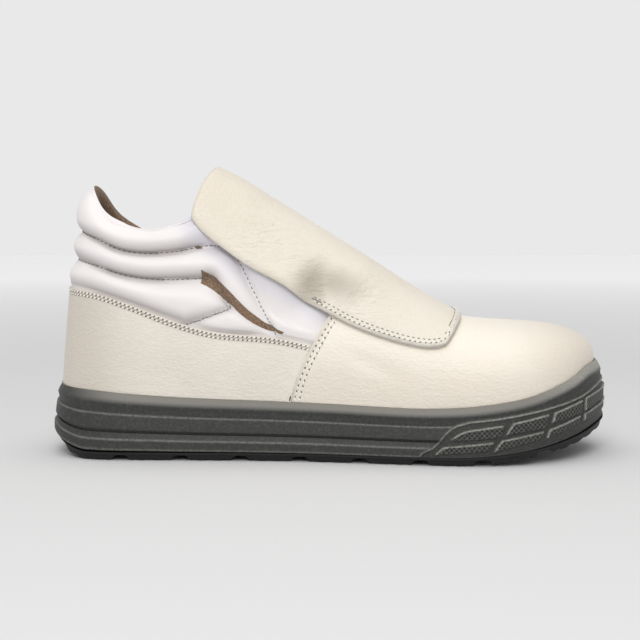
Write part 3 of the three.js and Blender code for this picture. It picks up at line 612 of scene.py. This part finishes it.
def ringAt(inset, heightOf, lift, atLoops, heelTuck=0.0):
    # one closed row of points, inset from the outline and lifted above the height there
    plan = planAt(atLoops, inset + heelTuck * (1 - smooth(np.abs(atLoops), 0.15, 0.6)))
    return np.concatenate([plan, (heightOf(plan[:, 0]) + lift)[:, None]], axis=1)


def closedStrip(rows):
    # rows of points that close round the shoe, joined by quads
    count = rows[0].shape[0]
    points = np.concatenate(rows)
    faces = []
    for r in range(len(rows) - 1):
        a = np.arange(count) + r * count
        b = np.roll(np.arange(count), -1) + r * count
        faces.append(np.stack([a, b, b + count, a + count], axis=1))
    return points, np.concatenate(faces)


lead = 14  # the hidden floor of the cup, under the insole
footRings = [(lead, bottomAt, 4.5), (3, bottomAt, 4.5)]
innerRings = [(soleShape["cupWall"], rimAt, 0.1), (6.0, rimAt, -0.3), (6.1, rimAt, -2.5), (6, bottomAt, 14),
              (lead, bottomAt, 13), (lead, bottomAt, 4.5)]
points, faces = closedStrip([ringAt(*ring, loops) for ring in footRings] + list(wall)
                            + [ringAt(*ring, loops) for ring in innerRings])
cupSole = meshPiece("cupSole", points, faces[:, ::-1])
firstWall = len(loops) * len(footRings)


def onWall(values, within=0.0):
    # values of the outer wall's points, then one value for the cup's inside and zero below
    spread = np.full((len(points),) + np.shape(values)[1:], within)
    spread[:firstWall] = 0
    spread[firstWall:firstWall + len(flat)] = values
    return spread


# painted light on the rim's top band and on the cup's inside, fading out towards the heel
rimPaintedLight = smooth(shareWall, 0.84, 0.93) * smooth(alongWall, -150, -110)
writeAttribute(cupSole, "blockFace", onWall(blockFace))
writeAttribute(cupSole, "rimPaintedLight", onWall(rimPaintedLight, 1.0))
writeAttribute(cupSole, "edgeHighlight", onWall(np.maximum(edgeHighlight, 0.75 * rimPaintedLight * smooth(alongWall, 100, 145))))
cornerIndex = np.empty(len(cupSole.data.loops), dtype=int)
cupSole.data.loops.foreach_get("vertex_index", cornerIndex)
patternPoints = onWall(flat * 2 * math.pi / cup["dotPitch"] / 2)
cupSole.data.uv_layers.new(name="pattern").data.foreach_set("uv", patternPoints[cornerIndex].ravel())
closeUp(cupSole, 1e-6)
bpy.ops.object.shade_smooth_by_angle(angle=math.radians(40))
finishPiece(cupSole, ["midsole"], mouldedSole)

tread = {
    "lugPitch": 32, "grooves": 8, "grooveWidth": 9, "grooveDepth": 2.8, "wavePitch": 8, "waveDepth": 0.6,
    "inset": 0.7, "draft": 1.5, "heelTuck": 4.0, "across": 44,
}
centres = (np.arange(tread["grooves"]) - (tread["grooves"] - 1) / 2) * tread["lugPitch"]


def treadRelief(x, y):
    # how far the underside is lifted: rounded grooves between the lugs and a low wave on them
    bow = x + 0.8 * np.cos(y / 9)
    lift = np.zeros(np.shape(x))
    for centre in centres:
        reach = np.abs(bow - centre) / (tread["grooveWidth"] / 2)
        lift = np.maximum(lift, tread["grooveDepth"] * smooth(reach, 1.45, 0.3))
    lift = np.maximum(lift, tread["waveDepth"] * (0.5 + 0.5 * np.cos(x * 2 * math.pi / tread["wavePitch"])) ** 2)
    middle = smooth(np.abs(y - 2), 2.4, 1.2) * smooth(np.abs(x), 132, 122)
    return np.maximum(lift, 1.6 * middle)


treadAngles = np.interp(np.linspace(0, arcLengths[-1], 330), arcLengths, arcAngles)
treadLoops = np.r_[-treadAngles[::-1], treadAngles[1:-1]]
tuck = tread["heelTuck"]
edge = ringAt(tread["inset"] + tread["draft"], bottomAt, 0, treadLoops, tuck)
count = len(treadAngles)
outerEdge = edge[:count][::-1]
innerEdge = np.r_[edge[count - 1:count], edge[count:], edge[:1]]
shareAcross = np.linspace(0, 1, tread["across"])[:, None, None]
sheet = outerEdge[None] * (1 - shareAcross) + innerEdge[None] * shareAcross
sheet[..., 2] = bottomAt(sheet[..., 0]) + treadRelief(sheet[..., 0], sheet[..., 1])
number = np.arange(sheet.shape[0] * count).reshape(sheet.shape[0], count)
under = np.stack([number[:-1, :-1], number[:-1, 1:], number[1:, 1:], number[1:, :-1]], axis=-1).reshape(-1, 4)
edge[:, 2] += treadRelief(edge[:, 0], edge[:, 1])
sideRows = [edge]
for inwards, lift, share in ((0.9, 2.6, 0.8), (0, 3.4, 0.6), (0, soleShape["treadThickness"], 0.5)):
    sideRows.append(ringAt(tread["inset"] + inwards, bottomAt, lift, treadLoops, share * tuck))
sideRows += [ringAt(16, bottomAt, lift, treadLoops) for lift in (soleShape["treadThickness"], 3.6)]
sidePoints, sideFaces = closedStrip(sideRows)
treadSole = meshPiece("treadSole", np.concatenate([sheet.reshape(-1, 3), sidePoints]),
                      np.concatenate([under, (sideFaces + sheet.shape[0] * count)[:, ::-1]]))
closeUp(treadSole, 1e-5)
bpy.ops.object.shade_smooth_by_angle(angle=math.radians(40))
finishPiece(treadSole, ["outsole"], denseTread)

insole = copyOf("insole", "footbed")
subdivide(insole, 2, crease=0.6)
finishPiece(insole, ["insole"], brushedLining)


# upper: the quilted collar outside, brushed lining inside, plain where panels cover it

collar = {
    "instepRise": 124, "stitchTrough": 1.0, "troughWidth": 1.2, "puff": 2.4, "lean": 1.35, "crestLift": 0.9,
    "instepDepth": 25.0,  # how far under the instep the ways out through its skin start
    "outerDip": 2.2, "innerDip": 2.8, "rollShadeStrength": 0.85,
    "stitchPitch": 2.9, "stitchLength": 1.9, "stitchRadius": 0.28,
    "upperLine": [(0.05, 0.744), (0.1, 0.697), (0.14, 0.654), (0.185, 0.639), (0.238, 0.648), (0.294, 0.672),
                  (0.323, 0.656), (0.343, 0.609), (0.369, 0.482), (0.396, 0.352), (0.415, 0.26)],
    "lowerLine": [(0.05, 0.6145), (0.1, 0.582), (0.147, 0.546), (0.2, 0.528), (0.279, 0.532), (0.301, 0.535),
                  (0.312, 0.492), (0.331, 0.406)],
    "lowerReturn": [(0.235, 0.322), (0.262, 0.342), (0.3, 0.377), (0.331, 0.406)],
    "topline": [(0.07, 0.922), (0.0825, 0.908), (0.105, 0.823), (0.122, 0.781), (0.142, 0.754), (0.185, 0.729),
                (0.222, 0.738), (0.26, 0.771), (0.3, 0.826), (0.338, 0.887), (0.358, 0.907)],
    # x and distance from the middle plane of the top edge's own middle, on either side of the foot
    "rimOuter": [(-112, 26.1), (-102.5, 27.3), (-92.4, 27.7), (-79.5, 26.6), (-77, 25.8), (-73, 24.4), (-67, 21.9),
                 (-63, 20.3), (-59, 17.8), (-55, 14.8), (-50, 11)],
    "rimInner": [(-112, 25.9), (-103, 26.85), (-93, 26.75), (-80.4, 24.7), (-78, 23.4), (-74, 21.9), (-69, 19.3),
                 (-65, 17.3), (-61, 15.6), (-57, 13.4), (-50, 10)],
    "flapSide": [(0.26, 0.797), (0.273, 0.742), (0.309, 0.673), (0.359, 0.583), (0.437, 0.472), (0.525, 0.342)],
}
panels = {
    "quarterEdge": [(0.03, 0.49), (0.1, 0.468), (0.16, 0.42), (0.23, 0.354), (0.3, 0.305), (0.4, 0.284),
                    (0.465, 0.2526), (0.52, 0.22)],
    "vampEdge": [(0, 0.4325), (0.082, 0.4408), (0.152, 0.4515), (0.258, 0.4725), (0.385, 0.502), (0.496, 0.529),
                 (0.593, 0.552)],
    "quarterRows": (1.0, 2.7), "vampRows": (2.0, 4.5), "flapRows": (2.4, 4.2),
    "quarterPitch": 2.4, "vampPitch": 3.3, "flapPitch": 2.8,
}


def sideLine(rows, count=160, upright=False):
    # a table of shares as a line in side view, in mm; an upright one is read by height
    rows = np.array(rows, float)
    keys = np.linspace(rows[0, 0], rows[-1, 0], count)
    values = readTable(rows, keys)
    along, height = (values, keys) if upright else (keys, values)
    return np.stack([(along - 0.5) * soleShape["length"],
                     soleShape["sideHeight"] + height * collar["instepRise"]], axis=1)


def facing(points, normals):
    # 1 where a face of the shell looks straight out of the shoe, -1 where it looks in
    way = np.stack([points[:, 0] - np.clip(points[:, 0], -98, 60), points[:, 1],
                    collar["instepDepth"] * (points[:, 0] > -30)], axis=1)
    way /= np.linalg.norm(way, axis=1, keepdims=True) + 1e-9
    return np.sum(way * normals, axis=1)


def outward(points, normals):
    return smooth(facing(points, normals), -0.2, 0.2)


def faceData(piece):
    centres, normals = np.empty(len(piece.data.polygons) * 3), np.empty(len(piece.data.polygons) * 3)
    piece.data.polygons.foreach_get("center", centres)
    piece.data.polygons.foreach_get("normal", normals)
    return centres.reshape(-1, 3) * 1000, normals.reshape(-1, 3)


def instepWay(points):
    # the way straight out of the instep, across its ridge
    way = np.stack([np.zeros(len(points)), points[:, 1], np.full(len(points), collar["instepDepth"])], axis=1)
    return way / np.linalg.norm(way, axis=1, keepdims=True)


def ellipse(points, centre, reach, turn):
    # distance from a centre in side view, 1 on the edge of the turned ellipse
    a = math.radians(turn)
    gap = points[:, [0, 2]] - np.array(centre)
    return np.hypot(gap @ [math.cos(a), math.sin(a)] / reach[0], gap @ [-math.sin(a), math.cos(a)] / reach[1])


def tableHeight(rows, x):
    return soleShape["sideHeight"] + readTable(rows, x / soleShape["length"] + 0.5) * collar["instepRise"]


def press(piece, line, depth, width, only=None):
    # a soft trough, or with a negative depth a ridge, along a line drawn in side view
    points, normals = getPoints(piece), getNormals(piece)
    gap, _, _ = lineDistance(points[:, [0, 2]], line)
    amount = depth * np.exp(-(gap / width) ** 2)
    if only is not None:
        amount *= only(points, normals)
    setPoints(piece, points - normals * amount[:, None])


def dent(piece, centre, reach, depth, turn=0.0, side=-1):
    # a soft hollow in side view, wider along its turned long axis; both faces of a sheet move
    points = getPoints(piece)
    amount = depth * np.exp(-ellipse(points, centre, reach, turn) ** 2) * smooth(side * points[:, 1], -6, 6)
    setPoints(piece, points - instepWay(points) * amount[:, None])


def sidePath(tree, line, side):
    path = [cast(tree, (x, side * 200, z), (0, -side, 0)) for x, z in line]
    return [step for step in path if step[0] is not None]


def heelPath(tree, rows, drop, front, middle=-98.0):
    # a line from the outer side round the heel to the inner side, drop mm below its table
    line = sideLine(rows, 220)
    line = line[(line[:, 0] > middle) & (line[:, 0] < front)] - [0, drop]
    path = sidePath(tree, line[::-1], -1)
    x = middle
    for a in np.radians(np.linspace(90, -90, 91)):
        way = np.array([math.cos(a), math.sin(a), 0])
        for _ in range(3):
            start = np.array([middle, 0, tableHeight(rows, x) - drop]) - way * 120
            place, normal = cast(tree, start, way)
            if place is None or place[0] > middle + 2:
                place = None
                break
            x = place[0]
        if place is not None:
            path.append((place, normal))
    return path + sidePath(tree, line, 1)


def borderPath(piece, tree, inset, keep, rounding=0):
    # the border of a sheet's outer face, which has material 0, moved inwards over its surface
    mesh = piece.data
    _, normals = faceData(piece)
    sides, up = {}, {}
    for k, polygon in enumerate(mesh.polygons):
        for key in polygon.edge_keys:
            sides.setdefault(key, []).append(polygon.material_index)
        if polygon.material_index == 0:
            for vertex in polygon.vertices:
                up[vertex] = up.get(vertex, 0) + normals[k]
    ahead = {}
    for a, b in [key for key, flags in sides.items() if len(flags) == 2 and flags[0] != flags[1]]:
        ahead.setdefault(a, []).append(b)
        ahead.setdefault(b, []).append(a)
    start = next(iter(ahead))
    loop, before, here = [start], None, start
    while True:
        onward = [v for v in ahead[here] if v != before]
        if not onward or onward[0] == start:
            break
        before, here = here, onward[0]
        loop.append(here)
    both = np.hstack([getPoints(piece)[loop], np.array([up[v] / np.linalg.norm(up[v]) for v in loop])])
    both = resample(np.vstack([both, both[:1]]), 1.0)[:-1]
    points, normals = both[:, :3], both[:, 3:]
    middle = points.mean(axis=0)
    turnWay = 0.0
    path = []
    for k, point in enumerate(points):
        tangent = points[(k + 3) % len(points)] - points[k - 3]
        turnWay += np.cross(normals[k], tangent) @ (middle - point)
    for k, point in enumerate(points):
        tangent = points[(k + 3) % len(points)] - points[k - 3]
        tangent /= np.linalg.norm(tangent)
        inward = np.cross(normals[k], tangent) * np.sign(turnWay)
        start = point + inward * inset + normals[k] * 1.5
        place, normal, _, _ = tree.ray_cast(Vector(start) / 1000, Vector(-normals[k]), 0.005)
        if place is None:
            place, normal, _, _ = tree.find_nearest(Vector(point + inward * inset) / 1000)
        place = np.array(place) * 1000
        path.append((place, np.array(normal)))
    # corners are rounded before the kept part is picked out
    places = np.array([place for place, _ in path])
    places = np.mean([np.roll(places, shift, axis=0) for shift in range(-rounding, rounding + 1)], axis=0)
    path = [(place, normal) for place, (_, normal) in zip(places, path) if keep(place)]
    jumps = [np.linalg.norm(path[k][0] - path[k - 1][0]) for k in range(len(path))]
    first = int(np.argmax(jumps))
    return path[first:] + path[:first]


def sewRow(name, tree, path, pitch, length, radius, lift, thread, sink=0.15, holes=0.0, reach=2.5):
    # one row of stitches along a path: each a short rounded thread whose ends dive into the skin
    places = np.array([place for place, _ in path])
    normals = np.array([normal for _, normal in path])
    both = resample(np.hstack([places, normals]), pitch)
    middles = (both[1:] + both[:-1]) / 2
    ways = both[1:, :3] - both[:-1, :3]
    ways /= np.linalg.norm(ways, axis=1, keepdims=True)
    ups = middles[:, 3:] / np.linalg.norm(middles[:, 3:], axis=1, keepdims=True)
    spots = middles[:, :3]
    for k, spot in enumerate(spots):
        place, normal, _, _ = tree.ray_cast(Vector(spot + ups[k] * reach) / 1000, Vector(-ups[k]), 0.006)
        if place is None or reach == 0:
            place, normal, _, _ = tree.find_nearest(Vector(spot) / 1000)
        spots[k] = np.array(place) * 1000
        ups[k] = ups[k] + 2 * np.array(normal)
        ways[k] -= ups[k] * (ways[k] @ ups[k]) / (ups[k] @ ups[k])
    ups /= np.linalg.norm(ups, axis=1, keepdims=True)
    ways /= np.linalg.norm(ways, axis=1, keepdims=True)
    across = np.cross(ups, ways)
    points, faces = [], []
    rings = [(-1.0, 0.35, -sink), (-0.72, 0.8, lift * 0.6), (0.0, 1.0, lift), (0.72, 0.8, lift * 0.6),
             (1.0, 0.35, -sink)]
    for spot, way, up, beside in zip(spots, ways, ups, across):
        base = len(points)
        for along, girth, height in rings:
            for corner in range(6):
                a = corner * math.pi / 3
                points.append(spot + way * along * length / 2 + up * (height + radius * girth * math.sin(a))
                              + beside * radius * girth * math.cos(a))
        for r in range(4):
            for corner in range(6):
                other = (corner + 1) % 6
                faces.append([base + r * 6 + corner, base + r * 6 + other,
                              base + (r + 1) * 6 + other, base + (r + 1) * 6 + corner])
        faces.append([base + k for k in range(5, -1, -1)])
        faces.append([base + 24 + k for k in range(6)])
    row = meshPiece(name, points, faces)
    closeUp(row)
    row.data.shade_smooth()
    finishPiece(row, (), thread)
    if holes:
        points, faces = [], []
        for spot, way, up, beside in zip(spots, ways, ups, across):
            centre = spot + way * pitch / 2 + up * 0.12
            slant, cross = way * 0.82 + beside * 0.57, beside * 0.82 - way * 0.57
            base = len(points)
            points += [centre + (slant * 1.35 * math.cos(a) + cross * 0.75 * math.sin(a)) * holes
                       for a in np.arange(8) * math.pi / 4] + [centre - up * 0.3]
            faces += [[base + k, base + (k + 1) % 8, base + 8] for k in range(8)]
            faces.append([base + k for k in range(7, -1, -1)])
        pits = meshPiece(name + "Holes", points, faces)
        finishPiece(pits, (), needleHole)
    return row


def materialOf(piece):
    number = np.empty(len(piece.data.polygons), np.int32)
    piece.data.polygons.foreach_get("material_index", number)
    return number


def lineInside(piece, rear, steepness, isLining):
    # the white skin ends on the middle of the top edge; inside it and under the instep is lining
    centres, normals = faceData(piece)
    x, y, z = centres.T
    rimMiddle = np.where(y < 0, readTable(collar["rimOuter"], x), readTable(collar["rimInner"], x))
    onRim = (normals[:, 2] > steepness) & (x > rear) & (x < -50) & (z > tableHeight(collar["topline"], x) - 3.5)
    ceiling = (normals[:, 2] < -0.25) & (x > -70) & (z > 60)
    inside = np.where(onRim, np.abs(y) < rimMiddle, isLining | ceiling)
    piece.data.polygons.foreach_set("material_index", inside.astype(np.int32))


upperSkin = copyOf("upper", "upperSkin")
upperSkin.data.materials.append(collarMicrofibre)
upperSkin.data.materials.append(brushedLining)
lineInside(upperSkin, -113, 0.5, facing(*faceData(upperSkin)) < -0.5)
subdivide(upperSkin, 2, crease=0.6, sharpness=55)
# once more on the finer faces, where the cage's own are too coarse to follow the edge
lineInside(upperSkin, -77, 0.3, materialOf(upperSkin) == 1)
# one more cut where the quilting shows
centres, _ = faceData(upperSkin)
shows = (centres[:, 2] > tableHeight(panels["quarterEdge"], centres[:, 0]) - 3) & (centres[:, 0] < 5)
activate(upperSkin)
bpy.ops.object.mode_set(mode="EDIT")
bpy.ops.mesh.select_mode(type="FACE")
bpy.ops.mesh.select_all(action="DESELECT")
bpy.ops.object.mode_set(mode="OBJECT")
upperSkin.data.polygons.foreach_set("select", shows & (materialOf(upperSkin) == 0))
bpy.ops.object.mode_set(mode="EDIT")
bpy.ops.mesh.subdivide(number_cuts=1, smoothness=0.0)
bpy.ops.object.mode_set(mode="OBJECT")
upperSkin.data.shade_smooth()


def arch(share):
    # a padded roll between two seams: it leaves the upper one slowly and drops steeply to the lower
    return 1 - np.abs(2 * np.clip(share, 0, 1) ** collar["lean"] - 1) ** 2.6


upperLine, lowerLine = sideLine(collar["upperLine"]), sideLine(collar["lowerLine"])
lowerReturn = sideLine(collar["lowerReturn"], 40)
points, normals = getPoints(upperSkin), getNormals(upperSkin)
flat = points[:, [0, 2]]
x, z = flat.T
gapUpper, gapLower = lineDistance(flat, upperLine)[0], lineDistance(flat, lowerLine)[0]
topGap = lineDistance(flat, sideLine(collar["topline"]))[0]
quarterGap = lineDistance(flat, sideLine(panels["quarterEdge"]))[0]
returnGap = lineDistance(flat, lowerReturn)[0]
inLower = ((x < lowerLine[-1, 0]) & (z < tableHeight(collar["lowerLine"], x))
           & ((x < lowerReturn[0, 0]) | (z > tableHeight(collar["lowerReturn"], x))))
inUpper = (x > upperLine[-1, 0]) | (z > tableHeight(collar["upperLine"], x))
roundFront = np.sqrt(np.clip(np.minimum(np.minimum(gapUpper, quarterGap), topGap + 2) / 6.5, 0, 1))
topRoll = arch(topGap / (topGap + gapUpper + 1e-6))
topRoll += (roundFront - topRoll) * smooth(x, -85, -62)
gapFoot = np.minimum(quarterGap, returnGap)
middleRoll = arch(gapUpper / (gapUpper + np.minimum(gapLower, returnGap) + 1e-6))
lowRoll = arch(gapLower / (gapLower + gapFoot + 1e-6))
roll = np.where(inLower, lowRoll, np.where(inUpper, topRoll, middleRoll))
above = smooth(quarterGap, 0.5, 3) * (z > tableHeight(panels["quarterEdge"], x))
quilted = outward(points, normals) * above * smooth(x, 5, -15)
atHeel = smooth(x, -116, -136)
heelShare = 1 - atHeel * np.where(inUpper, 0.5, 1)  # the solid's own rolls are full there
points = points + normals * (collar["puff"] * roll * quilted * heelShare)[:, None]
# the top edge stands higher on the inner side at the heel and dips on the outer side before it
outerSide = smooth(points[:, 1], 4, -8)
edgeLift = (collar["crestLift"] - collar["outerDip"] * outerSide * np.exp(-((x + 121) / 11) ** 2)
            - collar["innerDip"] * (1 - outerSide) * smooth(x, -132, -120))
points[:, 2] += edgeLift * smooth(topGap, 9, 0) * smooth(x, -45, -70)
setPoints(upperSkin, points)
for line in (upperLine, lowerLine, lowerReturn):
    press(upperSkin, line, collar["stitchTrough"], collar["troughWidth"],
          lambda points, normals: outward(points, normals) * (1 - 0.75 * atHeel))
dent(upperSkin, (-9, 94), (17, 9), 3.6, 62)  # the padding gives way under the flap's dent
# painted lilac shade and reflection on the collar next to the flap's edge, given through the edge colour of its
# finish
flapSide = sideLine(collar["flapSide"])
flapShadeZone = smooth(lineDistance(getPoints(upperSkin)[:, [0, 2]], flapSide)[0], 13, 0)
writeAttribute(upperSkin, "cutEdgeAndPaintedShade", 0.5 * flapShadeZone)
# painted shade under each roll, above the seam that ends it, and along the quarter's edge
rollShade = np.where(inLower, smooth(gapFoot, 9, 0) * (0.4 + 0.6 * smooth(x, -62, -82)),
                     np.where(inUpper, smooth(gapUpper, 8, 0) * smooth(x, -60, -75),
                              smooth(gapLower, 8, 0) * smooth(x, -50, -64)))
rollShade = np.maximum(rollShade, 0.8 * smooth(quarterGap, 6, 0) * smooth(x, -30, -48))
writeAttribute(upperSkin, "paintedShade", collar["rollShadeStrength"] * rollShade * quilted)
finishPiece(upperSkin, ["upper"])
tree = surfaceOf(upperSkin)
quiltRows = [("upperQuilting", heelPath(tree, collar["upperLine"], 0, -28)),
             ("lowerQuilting", heelPath(tree, collar["lowerLine"], 0, -48)),
             ("lowerQuiltingEndOuter", sidePath(tree, lowerReturn, -1)),
             ("lowerQuiltingEndInner", sidePath(tree, lowerReturn, 1))]
for name, path in quiltRows:
    sewRow(name, tree, path, collar["stitchPitch"], collar["stitchLength"], collar["stitchRadius"], 0.1,
           greyThread, reach=0)

quarterSkin = copyOf("quarter_panel", "quarterSkin")
subdivide(quarterSkin, 3, crease=0.7)
quarterLine = sideLine(panels["quarterEdge"])
press(quarterSkin, quarterLine - [0, 0.5], -0.25, 0.6, outward)
x, z = getPoints(quarterSkin)[:, [0, 2]].T
writeAttribute(quarterSkin, "crumple", 0.08 * smooth(z, 85, 45))
# painted shade: darker towards the heel, and in a band between the two rows of stitches under the top edge
seamShadeBand = np.exp(-((tableHeight(panels["quarterEdge"], x) - z - 1.9) / 1.4) ** 2)
writeAttribute(quarterSkin, "paintedShade", np.maximum(0.75 * smooth(x, -95, -135), 0.9 * seamShadeBand))
vampLine = sideLine(panels["vampEdge"], upright=True)
press(quarterSkin, vampLine + [-0.2, 0], -0.8, 1.6, outward)  # it rises to meet the lapped vamp
for drop in panels["quarterRows"]:
    press(quarterSkin, quarterLine - [0, drop], 0.3, 0.5, outward)
finishPiece(quarterSkin, ["quarter_panel"], quarterMicrofibre)
tree = surfaceOf(quarterSkin)
for k, drop in enumerate(panels["quarterRows"]):
    sewRow(f"quarterStitches{k}", tree, heelPath(tree, panels["quarterEdge"], drop, -10), panels["quarterPitch"],
           1.8, 0.36, 0.2, whiteThread, holes=0.58)

vampSkin = copyOf("vamp", "vampSkin")
subdivide(vampSkin, 3, crease=0.6)
for shift in panels["vampRows"]:
    press(vampSkin, vampLine + [shift, 0], 0.3, 0.6, outward)
dent(vampSkin, (20, 53), (15, 4.5), 1.1, 155)
flat = getPoints(vampSkin)[:, [0, 2]]
x, z = flat.T
writeAttribute(vampSkin, "crumple", 0.08 * smooth(z, 68, 40))
edgeGap = lineDistance(flat, vampLine)[0]
# painted shade: darker towards the toe's end and low on the sides, and in a band along the lapped edge
vampPaintedShade = np.maximum(0.9 * smooth(x, 70, 150), 0.45 * smooth(z, 66, 42))
writeAttribute(vampSkin, "paintedShade", np.maximum(vampPaintedShade, 0.95 * np.exp(-((edgeGap - 1.0) / 1.2) ** 2)))
finishPiece(vampSkin, ["vamp"], vampMicrofibre)
tree = surfaceOf(vampSkin)
for k, shift in enumerate(panels["vampRows"]):
    for side, sideName in ((-1, "Outer"), (1, "Inner")):
        sewRow(f"vampStitches{k}{sideName}", tree, sidePath(tree, vampLine[vampLine[:, 1] < 84] + [shift, 0], side),
               panels["vampPitch"], 2.5, 0.4, 0.2, whiteThread, holes=0.52)

# a short dark tick at the seam's foot, made as one dark stitch
endLine = vampLine[vampLine[:, 1] < 34.5] + [-0.6, 0]
endPath = sidePath(surfaceOf(quarterSkin), endLine[endLine[:, 1] > 31.5], -1)
darkTickFinish = sewingThread("darkTickAtSeamFoot", "#3a3631", "#2a2723")
sewRow("seamFootTick", surfaceOf(quarterSkin), endPath, 3.0, 3.2, 0.35, 0.15, darkTickFinish)

flap = {
    # centre in side view, reach along and across, depth and turn of each dent or swelling
    "dents": [((-9, 94), (16, 8), 2.9, 62), ((-26, 97), (12, 7), -1.8, 150), ((10, 90), (14, 6), -1.3, 50),
              ((-34, 119), (16, 5), 0.8, 150)],
    "creased": [((-8, 95), 15), ((-34, 117), 16), ((-16, 104), 12), ((22, 88), 16)],
    # centre, reach and turn of the shade in the dent, deep in its core and lighter around
    "core": ((-8.3, 93.5), (11, 8.5), 62), "halo": ((2, 94.5), (15, 8), -14),
    "rimDrop": 1.1,
}
flapSkin = copyOf("flap", "flapSkin")
centres, normals = faceData(flapSkin)
turned = np.sum(instepWay(centres) * normals, axis=1) < 0.35
flapSkin.data.materials.append(flapMicrofibre)
flapSkin.data.materials.append(flapMicrofibre)
flapSkin.data.polygons.foreach_set("material_index", turned.astype(np.int32))
subdivide(flapSkin, 3, crease=0.6)
for centre, reach, depth, turn in flap["dents"]:
    dent(flapSkin, centre, reach, depth, turn)
points = getPoints(flapSkin)
x, y, z = points.T
rim = np.array([place for place, _ in borderPath(flapSkin, surfaceOf(flapSkin), 0.0, lambda place: True)])
rimGap = np.full(len(points), 99.0)
for start in range(0, len(points), 4000):
    part = points[start:start + 4000]
    rimGap[start:start + 4000] = np.min(np.linalg.norm(part[:, None] - rim[None], axis=2), axis=1)
setPoints(flapSkin, points - instepWay(points) * (flap["rimDrop"] * smooth(rimGap, 1.9, 0.2))[:, None])
crumple = np.zeros(len(points))
for centre, reach in flap["creased"]:
    crumple = np.maximum(crumple, np.exp(-ellipse(points, centre, (reach, reach), 0) ** 2))
writeAttribute(flapSkin, "crumple", crumple)
# the cut edge's own grey along the border, with painted shade in it; less at the rear and at the front's foot
atFront = smooth(z, 70, 82) * smooth(x, 20, 30)
writeAttribute(flapSkin, "cutEdgeAndPaintedShade", smooth(rimGap, 1.1, 0.6) * (0.25 + 0.75 * smooth(x, -18, 8))
               * (1 - 0.6 * atFront))
# painted shade in the flap's dent, dark in its core and lighter around it
paintedShade = np.maximum(0.9 * smooth(ellipse(points, *flap["core"]), 1.7, 0.2),
                    0.75 * smooth(ellipse(points, *flap["halo"]), 1.6, 0.1))
writeAttribute(flapSkin, "paintedShade", paintedShade * smooth(y, 4, -4))
tree = surfaceOf(flapSkin)
sewn = [borderPath(flapSkin, tree, inset, lambda place: place[0] > -9, 4) for inset in panels["flapRows"]]
backTack = borderPath(flapSkin, tree, 3.2, lambda place: -9.5 < place[0] < -3.5 and place[1] < 0, 1)
flapSkin.data.polygons.foreach_set("material_index", np.zeros(len(flapSkin.data.polygons), np.int32))
finishPiece(flapSkin, ["flap"], flapMicrofibre)
for k, path in enumerate(sewn):
    sewRow(f"flapStitches{k}", tree, path, panels["flapPitch"], 2.0 - 0.4 * k, 0.36 - 0.1 * k, 0.18 - 0.08 * k,
           (whiteThread, greyThread)[k], holes=0.44 * (1 - k))
sewRow("flapBackTack", tree, backTack, 1.6, 2.2, 0.3, 0.3, greyThread)
